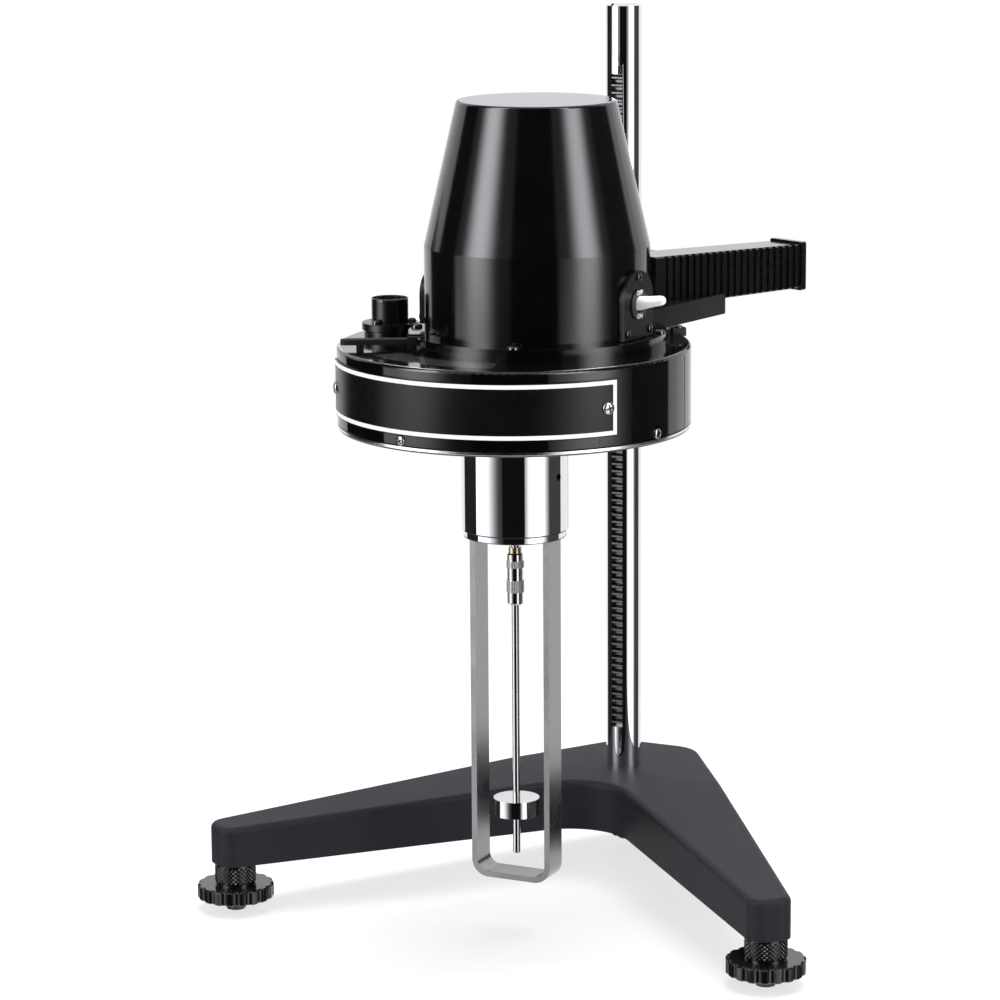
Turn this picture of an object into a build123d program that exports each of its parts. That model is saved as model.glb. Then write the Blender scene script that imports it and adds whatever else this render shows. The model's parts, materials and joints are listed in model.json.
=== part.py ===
"""Rotational viscometer on a rack column.

A round head hangs from a bracket that a rack and pinion raise on a column.
The column stands in a V-shaped base with three levelling feet.
In the head a motor turns a dial; a hairspring carries the turn on to a pivot
shaft, whose pointer lags behind the dial as liquid drags on the rotor below.

Frame: +Z up, +Y to the rear, X to the right of someone facing the front.
The origin is on the bench, under the axis of the rotor.  Millimetres.
"""
from build123d import *
from math import atan2, cos, degrees, hypot, pi, radians, sin, sqrt, tan
import os

os.makedirs("parts", exist_ok=True)

# ---------------------------------------------------------------- clearances
run_gap = 0.06            # radial, between a shaft and the bore it turns or slides in
drop_gap = 0.05           # radial, between a screw and its hole
face_gap = 0.30           # between faces of pieces that move past each other
tooth_gap = 0.12          # half the backlash of a gear pair, on each flank

# ---------------------------------------------------------------- base
foot_x = 118.3            # foot axes, to each side of the centre line
foot_y = -23.9            # foot axes, from the rotor axis
rear_foot_y = 132.0
leg_angle = 38.0          # of each leg from the centre line
leg_overhang = 9.0        # of the leg past its foot axis
leg_tip_width = 18.4
leg_root_width = 40.6
leg_taper_length = 131.5  # from the foot axis to where the root width is reached
hub_rear_y = 146.0
hub_corner_radius = 15.0
crotch_radius = 26.0
tip_corner_radius = 6.5
base_underside_z = 20.0
base_hub_z = 42.0
base_tip_z = 37.0
base_slope_start_y = 96.0  # the top falls from here to the leg tips
base_wall = 5.0
base_roof = 6.0
base_edge_radius = 2.5
foot_boss_radius = 8.0

stud_radius = 4.0
stud_depth = 12.0         # of the stud inside the leg
foot_knob_height = 10.9   # top of the lobed disc
foot_disc_radius = 15.8
foot_disc_z = 5.0
foot_lobes = 18
foot_lobe_depth = 0.9
foot_collar_radius = 8.2
foot_tip_radius = 6.3
foot_pad_radius = 4.0

# ---------------------------------------------------------------- column
column_y = 108.5
column_radius = 7.5
column_top_z = 369.0
column_chamfer = 1.0
socket_depth = 16.0       # of the column in the hub
column_boss_radius = 15.0
bolt_radius = 4.0
bolt_length = 20.0
bolt_head_radius = 6.5
bolt_head_height = 5.0
washer_radius = 8.5
washer_thickness = 1.6

rack_module = 1.0
pressure_angle = 20.0
rack_width = 5.0
rack_low_z = 60.0
rack_high_z = 340.0
rack_tip_offset = 6.9     # tooth tips, from the column axis
rack_body = 1.4           # strip behind the tooth roots
addendum_share = 0.9      # in modules; a stub tooth
dedendum_share = 1.2

# ---------------------------------------------------------------- lift bracket
pinion_teeth = 18
pinion_width = 4.4
pinion_z = 230.0
pinion_shaft_radius = 3.0
bracket_low_z = 212.0
bracket_high_z = 264.0
bracket_boss_radius = 18.5
bush_wall = 2.0
bush_length = 9.0
gear_block_left = 17.0
gear_block_right = 12.0
gear_block_front_y = 76.0
gear_block_low_z = 216.0
pinion_pocket_radius = 11.0
pinion_pocket_width = 5.6
pinion_cover_thickness = 2.0
clamp_slit = 2.0
clamp_lug_reach = 16.0    # past the boss
clamp_lug_width = 9.0
clamp_screw_radius = 3.0
clamp_screw_z = 224.0
clamp_lug_height = 16.0
lift_knob_radius = 15.0
lift_knob_length = 22.0
lift_knob_flutes = 24
clamp_knob_radius = 9.0
clamp_knob_length = 13.0
clamp_knob_flutes = 16

arm_thickness = 8.5
arm_front_y = 30.0
arm_rear_y = 106.0
arm_front_half = 35.1
arm_rear_half = 48.3
grip_angle = 24.0         # of the grip to the right of straight back
grip_length = 83.0
grip_root_width = 19.0
grip_end_width = 17.0
grip_root_height = 20.8
grip_end_height = 18.6
grip_x = 32.0             # right front corner of the grip
grip_y = 68.0
grip_low_z = 248.4
grip_rib_count = 20
grip_rib_depth = 0.8
grip_edge = 0.6
grip_rib_share = 0.45     # of the rib pitch that stands proud
grip_plate_thickness = 2.6
grip_plate_overlap = 1.0

# ---------------------------------------------------------------- head
drum_radius = 70.2
drum_low_z = 210.9
drum_high_z = 242.0
drum_wall = 3.0
drum_roof = 3.2
floor_thickness = 3.0
side_screw_angle = -13.0
side_screw_z = 215.2

plate_half_angle = 60.5
plate_low_z = 218.6
plate_high_z = 237.6
plate_thickness = 0.8
plate_screw_angle = 57.0
plate_screw_z = 228.0

cover_x = 7.5
cover_y = 6.1
cover_radius = 44.7
cover_wall = 1.8
cover_knee_z = 281.0
cover_top_z = 338.0
cover_top_radius = 31.5
cover_lip = 1.2
flange_radius = 52.1
flange_thickness = 2.4
flange_step = 2.4
flange_ledge = 0.8
cover_screw_angle = 14.0
cover_screw_circle = 49.0

window_inner = 48.5
window_outer = 61.5
window_from = -38.0
window_to = 18.0
window_thickness = 2.0
window_ledge = 1.5

# ---------------------------------------------------------------- sleeve, guard, rotor
sleeve_radius = 21.4
sleeve_wall = 2.2
sleeve_low_z = 167.6
sleeve_shoulder = 0.6     # step under the drum floor, where the spigot is smaller
ring_radius = 20.5
ring_height = 3.2
locating_hole_radius = 1.5
locating_hole_z = 190.0
locating_hole_angle = 80.0
guard_centres = 32.4
guard_width = 11.7
guard_thickness = 2.4
guard_low_z = 22.0
guard_bend_radius = 7.0
guard_insert = 12.0       # of the bars inside the sleeve

pivot_radius = 1.5
coupling_radius = 3.2
coupling_low_z = 136.0
coupling_high_z = 157.0
knurl_low = (140.9, 145.9)
knurl_high = (151.0, 153.9)
knurl_ridge = 0.35
bush_high_z = 159.4
coupling_bush_radius = 2.6
rotor_shaft_radius = 1.55
rotor_disc_radius = 9.35
rotor_disc_low_z = 48.5
rotor_disc_height = 6.9
rotor_low_z = 32.0

# ---------------------------------------------------------------- movement
dial_radius = 57.0
dial_thickness = 1.2
dial_z = 233.0            # underside of the dial
drive_tube_radius = 4.0
drive_tube_bore = 2.6
drive_tube_low_z = 231.0
drive_tube_high_z = 258.0
drive_module = 0.8
drive_teeth = 40
motor_pinion_teeth = 15
drive_gear_z = 247.0
drive_gear_width = 3.0
pointer_z = 226.6
pointer_rim_outer = 62.0
pointer_rim_inner = 59.2
pointer_thickness = 1.2
hairspring_turns = 4.0
hairspring_pitch = 2.8
motor_radius = 19.5
motor_height = 30.0
motor_plate_z = 262.0
motor_plate_thickness = 2.0
motor_plate_radius = 38.0
pillar_radius = 3.0
pillar_circle = 34.0

# ---------------------------------------------------------------- level and lever
level_x = -55.0
level_y = 0.0
level_radius = 7.4
level_bore = 5.2
level_high_z = 257.0
level_flange_radius = 11.3
level_flange_low_z = 244.4
level_flange_thickness = 2.8
level_screw_circle = 9.0

# ---------------------------------------------------------------- derived places
base_pitch = degrees(atan2(base_hub_z - base_tip_z, base_slope_start_y - foot_y))
rack_tooth_height = (addendum_share + dedendum_share) * rack_module
pinion_radius = rack_module * pinion_teeth / 2
pinion_y = column_y - (rack_tip_offset - addendum_share * rack_module) - pinion_radius


# ---------------------------------------------------------------- helpers
def outward_plane(angle, distance, z, centre=(0.0, 0.0)):
    """A plane facing away from an upright axis, angle degrees to the right of the front."""
    a = radians(angle)
    outward = (sin(a), -cos(a), 0)
    spot = (centre[0] + distance * outward[0], centre[1] + distance * outward[1], z)
    return Plane(origin=spot, x_dir=(cos(a), sin(a), 0), z_dir=outward)


def around(angle, distance, centre=(0.0, 0.0)):
    """The point at a distance from an upright axis, angle degrees to the right of the front."""
    a = radians(angle)
    return centre[0] + distance * sin(a), centre[1] - distance * cos(a)


def screw(head_radius, head_height, shank_radius, shank_length):
    """A pan-head screw whose head sits on the plane z = 0 and whose shank goes down."""
    with BuildPart() as body:
        Cylinder(head_radius, head_height, align=(Align.CENTER, Align.CENTER, Align.MIN))
        fillet(body.edges().sort_by(Axis.Z)[-1], min(head_height, head_radius) * 0.6)
        Cylinder(shank_radius, shank_length, align=(Align.CENTER, Align.CENTER, Align.MAX))
    return body.part


def gear_points(module, teeth, turn=0.0):
    """The outline of an involute gear, with one tooth centred on the angle turn, in degrees."""
    pitch = module * teeth / 2
    base = pitch * cos(radians(pressure_angle))
    root = pitch - dedendum_share * module
    tip = pitch + addendum_share * module
    slope = tan(radians(pressure_angle)) - radians(pressure_angle)
    half = pi / (2 * teeth) - tooth_gap / pitch + slope
    start = max(root, base)
    flank = [start + (tip - start) * k / 3 for k in range(4)]
    side = []
    for r in flank:
        angle = sqrt(max((r / base) ** 2 - 1, 0))
        side.append((r, half - (angle - atan2(angle, 1))))
    if root < base:
        side.insert(0, (root, side[0][1]))
    points = []
    for tooth in range(teeth):
        middle = radians(turn) + 2 * pi * tooth / teeth
        for r, angle in side:
            points.append((r * cos(middle - angle), r * sin(middle - angle)))
        for r, angle in reversed(side):
            points.append((r * cos(middle + angle), r * sin(middle + angle)))
    return points


def fluted(radius, flutes, depth):
    """A round knob's outline with shallow flutes."""
    with BuildSketch() as outline:
        Circle(radius)
        with PolarLocations(radius + depth * 0.6, flutes):
            Circle(depth * 1.6, mode=Mode.SUBTRACT)
    return outline.sketch


def knob(radius, length, flutes, depth, bore_radius, bore_depth):
    """A fluted knob that stands on the plane z = 0, with a blind bore in its foot."""
    with BuildPart() as body:
        Cylinder(radius, length, align=(Align.CENTER, Align.CENTER, Align.MIN))
        chamfer(body.edges().filter_by(GeomType.CIRCLE).sort_by(Axis.Z)[-1], 1.6 * depth)
        with BuildSketch():
            with PolarLocations(radius + depth * 0.6, flutes):
                Circle(depth * 1.6)
        extrude(amount=length, mode=Mode.SUBTRACT)
        Cylinder(bore_radius, bore_depth, mode=Mode.SUBTRACT,
                 align=(Align.CENTER, Align.CENTER, Align.MIN))
    return body.part


def save(piece, name):
    """Name a finished piece and write it."""
    piece.label = name
    export_step(piece, f"parts/{name}.step")


# ---------------------------------------------------------------- base casting
def leg_outline(side):
    """The corners of one leg seen from above, from the crotch round to the rear corner."""
    a = radians(leg_angle)
    along = (side * sin(a), -cos(a))
    across = (side * cos(a), sin(a))
    taper = (leg_root_width - leg_tip_width) / 2 / leg_taper_length

    def edge(station, sign):
        """A point on one edge; the station is measured from the foot towards the hub."""
        half = leg_tip_width / 2 + taper * station
        x = side * foot_x - along[0] * station + sign * across[0] * half
        y = foot_y - along[1] * station + sign * across[1] * half
        return x, y

    def reach(sign, axis, value):
        """The point where one edge, carried on to the hub, meets x or y = value."""
        low, high = edge(0, sign), edge(leg_taper_length, sign)
        share = (value - low[axis]) / (high[axis] - low[axis])
        return tuple(l + share * (h - l) for l, h in zip(low, high))

    crotch = reach(-1, 0, 0.0)
    inner_tip = edge(-leg_overhang, -1)
    outer_tip = edge(-leg_overhang, 1)
    rear = reach(1, 1, hub_rear_y)
    return crotch, inner_tip, outer_tip, rear


crotch, right_inner, right_outer, right_rear = leg_outline(1)
_, left_inner, left_outer, left_rear = leg_outline(-1)
tip_corners = [right_inner, right_outer, left_inner, left_outer]
foot_places = {"left": (-foot_x, foot_y), "right": (foot_x, foot_y), "rear": (0.0, rear_foot_y)}


def corners_near(vertices, places):
    """The vertices that stand at the given places in plan."""
    return [v for v in vertices if any(hypot(v.X - x, v.Y - y) < 0.5 for x, y in places)]


with BuildSketch() as base_plan:
    with BuildLine():
        Polyline(crotch, right_inner, right_outer, right_rear, left_rear, left_outer, left_inner,
                 close=True)
    make_face()
    fillet(corners_near(base_plan.vertices(), tip_corners), tip_corner_radius)
    fillet(corners_near(base_plan.vertices(), [crotch]), crotch_radius)
    fillet(corners_near(base_plan.vertices(), [right_rear, left_rear]), hub_corner_radius)

slope_plane = Plane(origin=(0, base_slope_start_y, base_hub_z), x_dir=(1, 0, 0),
                    z_dir=(0, -sin(radians(base_pitch)), cos(radians(base_pitch))))
base_depth = base_hub_z - base_underside_z

with BuildPart() as base_casting:
    with BuildSketch(Plane.XY.offset(base_underside_z)):
        add(base_plan.sketch)
    extrude(amount=base_depth)
    with BuildSketch(slope_plane):
        with Locations((0, -2 * base_slope_start_y)):
            Rectangle(3 * foot_x, 4 * base_slope_start_y)
    extrude(amount=base_depth, mode=Mode.SUBTRACT)
    fillet(base_casting.faces().filter_by(Plane.XY, reverse=True).edges()
           .filter_by(lambda e: e.center().Z > base_tip_z - 2 and abs(e.tangent_at(0.5).Z) < 0.3
                      and e.length > 1.0)
           .filter_by(lambda e: abs(e.center().Y - base_slope_start_y) > 1.0), base_edge_radius)
    with BuildSketch(Plane.XY.offset(base_underside_z)):
        offset(base_plan.sketch, amount=-base_wall, kind=Kind.INTERSECTION)
        with Locations(*foot_places.values()):
            Circle(foot_boss_radius, mode=Mode.SUBTRACT)
        with Locations((0, column_y)):
            Circle(column_boss_radius, mode=Mode.SUBTRACT)
    extrude(amount=base_tip_z - base_roof - base_underside_z, mode=Mode.SUBTRACT)
    with Locations(*[(x, y, base_underside_z) for x, y in foot_places.values()]):
        Cylinder(stud_radius + run_gap, stud_depth + 2, mode=Mode.SUBTRACT,
                 align=(Align.CENTER, Align.CENTER, Align.MIN))
    with Locations((0, column_y, base_hub_z)):
        Cylinder(column_radius, socket_depth, mode=Mode.SUBTRACT,
                 align=(Align.CENTER, Align.CENTER, Align.MAX))
    with Locations((0, column_y, base_underside_z)):
        Cylinder(bolt_radius + drop_gap, base_depth, mode=Mode.SUBTRACT,
                 align=(Align.CENTER, Align.CENTER, Align.MIN))
save(base_casting.part, "base_casting")

# ---------------------------------------------------------------- levelling feet
with BuildSketch() as foot_lobe_ring:
    Circle(foot_disc_radius)
    with PolarLocations(foot_disc_radius + foot_lobe_depth, foot_lobes):
        Circle(foot_lobe_depth * 2, mode=Mode.SUBTRACT)

for side, (x, y) in foot_places.items():
    foot_axis = Plane(origin=(x, y, 0))
    knob_top = base_underside_z - face_gap
    with BuildPart() as foot_knob:
        with BuildSketch(foot_axis.offset(foot_disc_z)):
            add(foot_lobe_ring.sketch)
        extrude(amount=foot_knob_height - foot_disc_z)
        chamfer(foot_knob.edges().group_by(Axis.Z)[-1] + foot_knob.edges().group_by(Axis.Z)[0], 0.5)
        with BuildSketch(foot_axis.offset(foot_knob_height)):
            Circle(foot_collar_radius)
        extrude(amount=knob_top - foot_knob_height)
        with BuildSketch(foot_axis) as tip:
            Circle(foot_pad_radius)
        with BuildSketch(foot_axis.offset(foot_disc_z)):
            Circle(foot_tip_radius)
        loft(ruled=True)
        with Locations(foot_axis.offset(foot_disc_z)):
            Cylinder(stud_radius, base_depth * 2, mode=Mode.SUBTRACT,
                     align=(Align.CENTER, Align.CENTER, Align.MIN))
    with BuildPart() as foot_stud:
        with Locations(foot_axis.offset(foot_disc_z)):
            Cylinder(stud_radius, base_underside_z - foot_disc_z + stud_depth,
                     align=(Align.CENTER, Align.CENTER, Align.MIN))
        chamfer(foot_stud.edges().sort_by(Axis.Z)[-1], 0.8)
    save(Compound(children=[foot_knob.part, foot_stud.part]), f"{side}_foot")

# ---------------------------------------------------------------- column and rack
column_low_z = base_hub_z - socket_depth
column_length = column_top_z - column_low_z
rack_root_offset = rack_tip_offset - rack_tooth_height
groove_floor = rack_root_offset - rack_body

with BuildPart() as column:
    with Locations((0, column_y, column_low_z)):
        Cylinder(column_radius, column_length, align=(Align.CENTER, Align.CENTER, Align.MIN))
    chamfer(column.edges().sort_by(Axis.Z)[-1], column_chamfer)
    with Locations((0, column_y - groove_floor, rack_low_z)):
        Box(rack_width, column_radius, rack_high_z - rack_low_z, mode=Mode.SUBTRACT,
            align=(Align.CENTER, Align.MAX, Align.MIN))
    with Locations((0, column_y, column_low_z)):
        Cylinder(bolt_radius, bolt_length, mode=Mode.SUBTRACT,
                 align=(Align.CENTER, Align.CENTER, Align.MIN))
save(column.part, "column")


def rack_profile():
    """The rack's outline in the plane x = 0, as (y, z), with a gap at the pinion's height."""
    pitch = pi * rack_module
    slope = tan(radians(pressure_angle))
    half_tip = pitch / 4 - addendum_share * rack_module * slope - tooth_gap
    half_root = pitch / 4 + dedendum_share * rack_module * slope - tooth_gap
    tip_y = column_y - rack_tip_offset
    root_y = column_y - rack_root_offset
    first = -int((pinion_z - rack_low_z) / pitch)
    last = int((rack_high_z - pinion_z) / pitch)
    points = [(column_y - groove_floor, rack_low_z), (root_y, rack_low_z)]
    for tooth in range(first, last):
        middle = pinion_z + pitch * (tooth + 0.5)
        points += [(root_y, middle - half_root), (tip_y, middle - half_tip),
                   (tip_y, middle + half_tip), (root_y, middle + half_root)]
    return points + [(root_y, rack_high_z), (column_y - groove_floor, rack_high_z)]


with BuildPart() as column_rack:
    with BuildSketch(Plane.YZ):
        with BuildLine():
            Polyline(*rack_profile(), close=True)
        make_face()
    extrude(amount=rack_width / 2, both=True)
save(column_rack.part, "column_rack")

with BuildPart() as column_washer:
    with BuildSketch(Plane.XY.offset(base_underside_z)):
        with Locations((0, column_y)):
            Circle(washer_radius)
            Circle(bolt_radius + drop_gap, mode=Mode.SUBTRACT)
    extrude(amount=-washer_thickness)

with BuildPart() as column_bolt:
    with BuildSketch(Plane.XY.offset(base_underside_z - washer_thickness)):
        with Locations((0, column_y)):
            RegularPolygon(bolt_head_radius, 6)
    extrude(amount=-bolt_head_height)
    with Locations((0, column_y, base_underside_z - washer_thickness)):
        Cylinder(bolt_radius, washer_thickness + column_low_z - base_underside_z + bolt_length,
                 align=(Align.CENTER, Align.CENTER, Align.MIN))
save(Compound(children=[column_bolt.part, column_washer.part]), "column_bolt")

# ---------------------------------------------------------------- lift bracket
boss_height = bracket_high_z - bracket_low_z
block_top_z = drum_high_z
bush_radius = column_radius + run_gap + bush_wall
pinion_axis = Plane(origin=(0, pinion_y, pinion_z), x_dir=(0, 1, 0), z_dir=(1, 0, 0))
lug_rear = bracket_boss_radius + clamp_lug_reach
clamp_axis_y = column_y + bracket_boss_radius + clamp_lug_reach / 2
clamp_axis = Plane(origin=(0, clamp_axis_y, clamp_screw_z), x_dir=(0, 1, 0), z_dir=(1, 0, 0))
lug_half = clamp_slit / 2 + clamp_lug_width
arm_screw_places = [(-13.0, 81.5), (8.0, 81.5)]
arm_screw_radius = 2.0

with BuildPart() as lift_bracket:
    with Locations((0, column_y, bracket_low_z)):
        Cylinder(bracket_boss_radius, boss_height, align=(Align.CENTER, Align.CENTER, Align.MIN))
    chamfer(lift_bracket.edges().group_by(Axis.Z)[-1], 1.5)
    with BuildSketch(Plane.XY.offset(gear_block_low_z)):
        with Locations(((gear_block_right - gear_block_left) / 2, gear_block_front_y)):
            Rectangle(gear_block_left + gear_block_right, column_y - gear_block_front_y,
                      align=(Align.CENTER, Align.MIN))
    extrude(amount=block_top_z - gear_block_low_z)
    with BuildSketch(Plane.XY.offset(clamp_screw_z - clamp_lug_height / 2)):
        with Locations((0, column_y)):
            Rectangle(2 * lug_half, lug_rear, align=(Align.CENTER, Align.MIN))
    extrude(amount=clamp_lug_height)
    fillet(lift_bracket.edges().filter_by(Axis.X).group_by(Axis.Y)[-1], clamp_lug_height / 2 - 0.5)
    with Locations((0, column_y, bracket_low_z)):
        Cylinder(column_radius + 1.0, boss_height, mode=Mode.SUBTRACT,
                 align=(Align.CENTER, Align.CENTER, Align.MIN))
        Cylinder(bush_radius, bush_length, mode=Mode.SUBTRACT,
                 align=(Align.CENTER, Align.CENTER, Align.MIN))
    with Locations((0, column_y, bracket_high_z)):
        Cylinder(bush_radius, bush_length, mode=Mode.SUBTRACT,
                 align=(Align.CENTER, Align.CENTER, Align.MAX))
    with BuildSketch(pinion_axis):
        Circle(pinion_pocket_radius)
        Rectangle(pinion_y - gear_block_front_y, 2 * pinion_pocket_radius,
                  align=(Align.MAX, Align.CENTER))
        Rectangle(column_y - pinion_y, 2 * pinion_pocket_radius - 4,
                  align=(Align.MIN, Align.CENTER))
    extrude(amount=pinion_pocket_width / 2, both=True, mode=Mode.SUBTRACT)
    with Locations(pinion_axis):
        Cylinder(pinion_shaft_radius + run_gap, 3 * gear_block_left, mode=Mode.SUBTRACT)
    with Locations(clamp_axis):
        Cylinder(clamp_screw_radius + run_gap, 4 * lug_half, mode=Mode.SUBTRACT)
    with BuildSketch(Plane.XY.offset(bracket_low_z)):
        with Locations((0, column_y)):
            Rectangle(clamp_slit, lug_rear, align=(Align.CENTER, Align.MIN))
    extrude(amount=clamp_screw_z + clamp_lug_height / 2 + 2 - bracket_low_z, mode=Mode.SUBTRACT)
    with Locations(*[(x, y, block_top_z) for x, y in arm_screw_places]):
        Cylinder(arm_screw_radius + drop_gap, 10, mode=Mode.SUBTRACT,
                 align=(Align.CENTER, Align.CENTER, Align.MAX))
    pinion_cover_screws_at = [(x, z) for x in (-8.5, 6.5) for z in (pinion_z - 8, pinion_z + 7)]
    with Locations(*[(x, gear_block_front_y, z) for x, z in pinion_cover_screws_at]):
        Cylinder(1.5, 6, rotation=(90, 0, 0), mode=Mode.SUBTRACT)
save(lift_bracket.part, "lift_bracket")

with BuildPart() as bracket_bushes:
    for low_z in (bracket_low_z, bracket_high_z - bush_length):
        with BuildSketch(Plane.XY.offset(low_z)):
            with Locations((0, column_y)):
                Circle(bush_radius)
                Circle(column_radius + run_gap, mode=Mode.SUBTRACT)
            if low_z < clamp_screw_z:
                with Locations((0, column_y)):
                    Rectangle(clamp_slit, lug_rear, align=(Align.CENTER, Align.MIN),
                              mode=Mode.SUBTRACT)
        extrude(amount=bush_length)
save(bracket_bushes.part, "bracket_bushes")

with BuildPart() as pinion_cover:
    with BuildSketch(Plane.XZ.offset(-gear_block_front_y)):
        with Locations(((gear_block_right - gear_block_left) / 2, gear_block_low_z)):
            Rectangle(gear_block_left + gear_block_right, block_top_z - gear_block_low_z,
                      align=(Align.CENTER, Align.MIN))
    extrude(amount=pinion_cover_thickness)
    fillet(pinion_cover.edges().filter_by(Axis.Y), 2)
    with Locations(*[(x, gear_block_front_y, z) for x, z in pinion_cover_screws_at]):
        Cylinder(1.5, 6, rotation=(90, 0, 0), mode=Mode.SUBTRACT)
save(pinion_cover.part, "pinion_cover")

with BuildPart() as pinion_cover_screws:
    front = Plane.XZ.offset(-gear_block_front_y + pinion_cover_thickness)
    with Locations(*[front * Location((x, z, 0)) for x, z in pinion_cover_screws_at]):
        add(screw(2.6, 1.4, 1.45, 4.6))

# ---------------------------------------------------------------- lift pinion and its knob
knob_face = -bracket_boss_radius - 1.0
collar_face = bracket_boss_radius + 0.2
collar_radius = pinion_shaft_radius + 2.5
collar_width = 3.0
knob_end = 3.0            # solid end of a knob past its bore
with BuildPart() as lift_pinion:
    with BuildSketch(pinion_axis):
        Polygon(*gear_points(rack_module, pinion_teeth), align=None)
    extrude(amount=pinion_width / 2, both=True)
    with Locations(pinion_axis.offset(collar_face + collar_width)):
        Cylinder(pinion_shaft_radius,
                 collar_face + collar_width - knob_face + lift_knob_length - knob_end,
                 align=(Align.CENTER, Align.CENTER, Align.MAX))
        Cylinder(collar_radius, collar_width, align=(Align.CENTER, Align.CENTER, Align.MAX))
save(lift_pinion.part, "lift_pinion")


lift_knob_foot = Plane(origin=(knob_face, pinion_y, pinion_z), x_dir=(0, 1, 0), z_dir=(-1, 0, 0))
with BuildPart() as lift_knob:
    with Locations(lift_knob_foot):
        add(knob(lift_knob_radius, lift_knob_length, lift_knob_flutes, 1.0,
                 pinion_shaft_radius, lift_knob_length - knob_end))
save(lift_knob.part, "lift_knob")

clamp_knob_foot = Plane(origin=(-lug_half - face_gap, clamp_axis_y, clamp_screw_z), x_dir=(0, 1, 0),
                        z_dir=(-1, 0, 0))
clamp_nut_thickness = 2.8
with BuildPart() as clamp_screw:
    with Locations(clamp_axis.offset(lug_half + clamp_nut_thickness)):
        Cylinder(clamp_screw_radius,
                 2 * lug_half + clamp_nut_thickness + face_gap + clamp_knob_length - knob_end,
                 align=(Align.CENTER, Align.CENTER, Align.MAX))

with BuildPart() as clamp_nut:
    with BuildSketch(clamp_axis.offset(lug_half)):
        RegularPolygon(clamp_screw_radius * 1.9, 6)
        Circle(clamp_screw_radius + run_gap, mode=Mode.SUBTRACT)
    extrude(amount=clamp_nut_thickness)
save(clamp_nut.part, "clamp_nut")

with BuildPart() as clamp_knob:
    with Locations(clamp_knob_foot):
        add(knob(clamp_knob_radius, clamp_knob_length, clamp_knob_flutes, 0.7,
                 clamp_screw_radius, clamp_knob_length - knob_end))
save(Compound(children=[clamp_screw.part, clamp_knob.part]), "clamp_screw")

# ---------------------------------------------------------------- arm and grip
arm_low_z = drum_high_z
arm_high_z = arm_low_z + arm_thickness
arm_drum_screws_at = [(29.0, 60.0), (-29.0, 60.0), (-43.0, 44.0)]
grip_plane = Plane(origin=(grip_x, grip_y, grip_low_z),
                   x_dir=(cos(radians(grip_angle)), -sin(radians(grip_angle)), 0), z_dir=(0, 0, 1))


def grip_body(proud=0.0, length=grip_length):
    """The tapered block of the grip, with its right front edge on the grip plane's origin."""
    with BuildPart() as block:
        with BuildSketch(Plane(grip_plane.origin, x_dir=grip_plane.x_dir, z_dir=grip_plane.y_dir)):
            with Locations((proud, 0)):
                Rectangle(grip_root_width + 2 * proud, grip_root_height,
                          align=(Align.MAX, Align.MAX))
        with BuildSketch(Plane(grip_plane.origin + grip_plane.y_dir * length,
                               x_dir=grip_plane.x_dir, z_dir=grip_plane.y_dir)):
            with Locations((proud, 0)):
                Rectangle(grip_end_width + 2 * proud, grip_end_height,
                          align=(Align.MAX, Align.MAX))
        loft()
    return block.part


with BuildPart() as head_arm:
    with BuildSketch(Plane.XY.offset(arm_low_z)):
        with BuildLine():
            Polyline((-arm_front_half, arm_front_y), (arm_front_half, arm_front_y),
                     (arm_rear_half, arm_rear_y), (-gear_block_left, arm_rear_y),
                     (-gear_block_left, 78.0), (-48.0, 56.0), (-48.0, arm_front_y + 4), close=True)
        make_face()
    extrude(amount=arm_thickness)
    with Locations((cover_x, cover_y, arm_low_z)):
        Cylinder(flange_radius + 0.6, arm_thickness, mode=Mode.SUBTRACT,
                 align=(Align.CENTER, Align.CENTER, Align.MIN))
    with Locations((0, column_y, arm_low_z)):
        Cylinder(bracket_boss_radius + drop_gap, arm_thickness, mode=Mode.SUBTRACT,
                 align=(Align.CENTER, Align.CENTER, Align.MIN))
    fillet(head_arm.edges().filter_by(Axis.Z).group_by(Axis.Y)[-1].sort_by(Axis.X)[-1], 2.0)
    add(grip_body(0.1), mode=Mode.SUBTRACT)
    with Locations(*[(x, y, arm_high_z) for x, y in arm_screw_places + arm_drum_screws_at]):
        CounterBoreHole(arm_screw_radius + drop_gap, 3.9, 3.6)
save(head_arm.part, "head_arm")

with BuildPart() as arm_screws:
    with Locations(*[(x, y, arm_high_z - 3.6) for x, y in arm_screw_places]):
        add(screw(3.5, 3.2, arm_screw_radius, arm_thickness - 3.6 + 9))
    with Locations(*[(x, y, arm_high_z - 3.6) for x, y in arm_drum_screws_at]):
        add(screw(3.5, 3.2, arm_screw_radius, arm_thickness - 3.6 + drum_roof))
save(Compound(children=[arm_screws.part, pinion_cover_screws.part]), "bracket_screws")

with BuildPart() as hand_grip:
    add(grip_body(0.0, grip_length))
    chamfer(hand_grip.edges().filter_by(lambda e: e.length > grip_length * 0.9), grip_edge)
    pitch = (grip_length - 6.0) / grip_rib_count
    for rib in range(grip_rib_count):
        station = 4.0 + pitch * (rib + 0.5)
        share = station / grip_length
        width = grip_root_width + (grip_end_width - grip_root_width) * share
        with BuildSketch(grip_plane.offset(-1.0)):
            with Locations((0, station)):
                Rectangle(grip_rib_depth, pitch * (1 - grip_rib_share),
                          align=(Align.MAX, Align.CENTER))
            with Locations((-width, station)):
                Rectangle(grip_rib_depth, pitch * (1 - grip_rib_share),
                          align=(Align.MIN, Align.CENTER))
        extrude(amount=grip_root_height + 2.0, mode=Mode.SUBTRACT)
save(hand_grip.part, "hand_grip")

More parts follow.
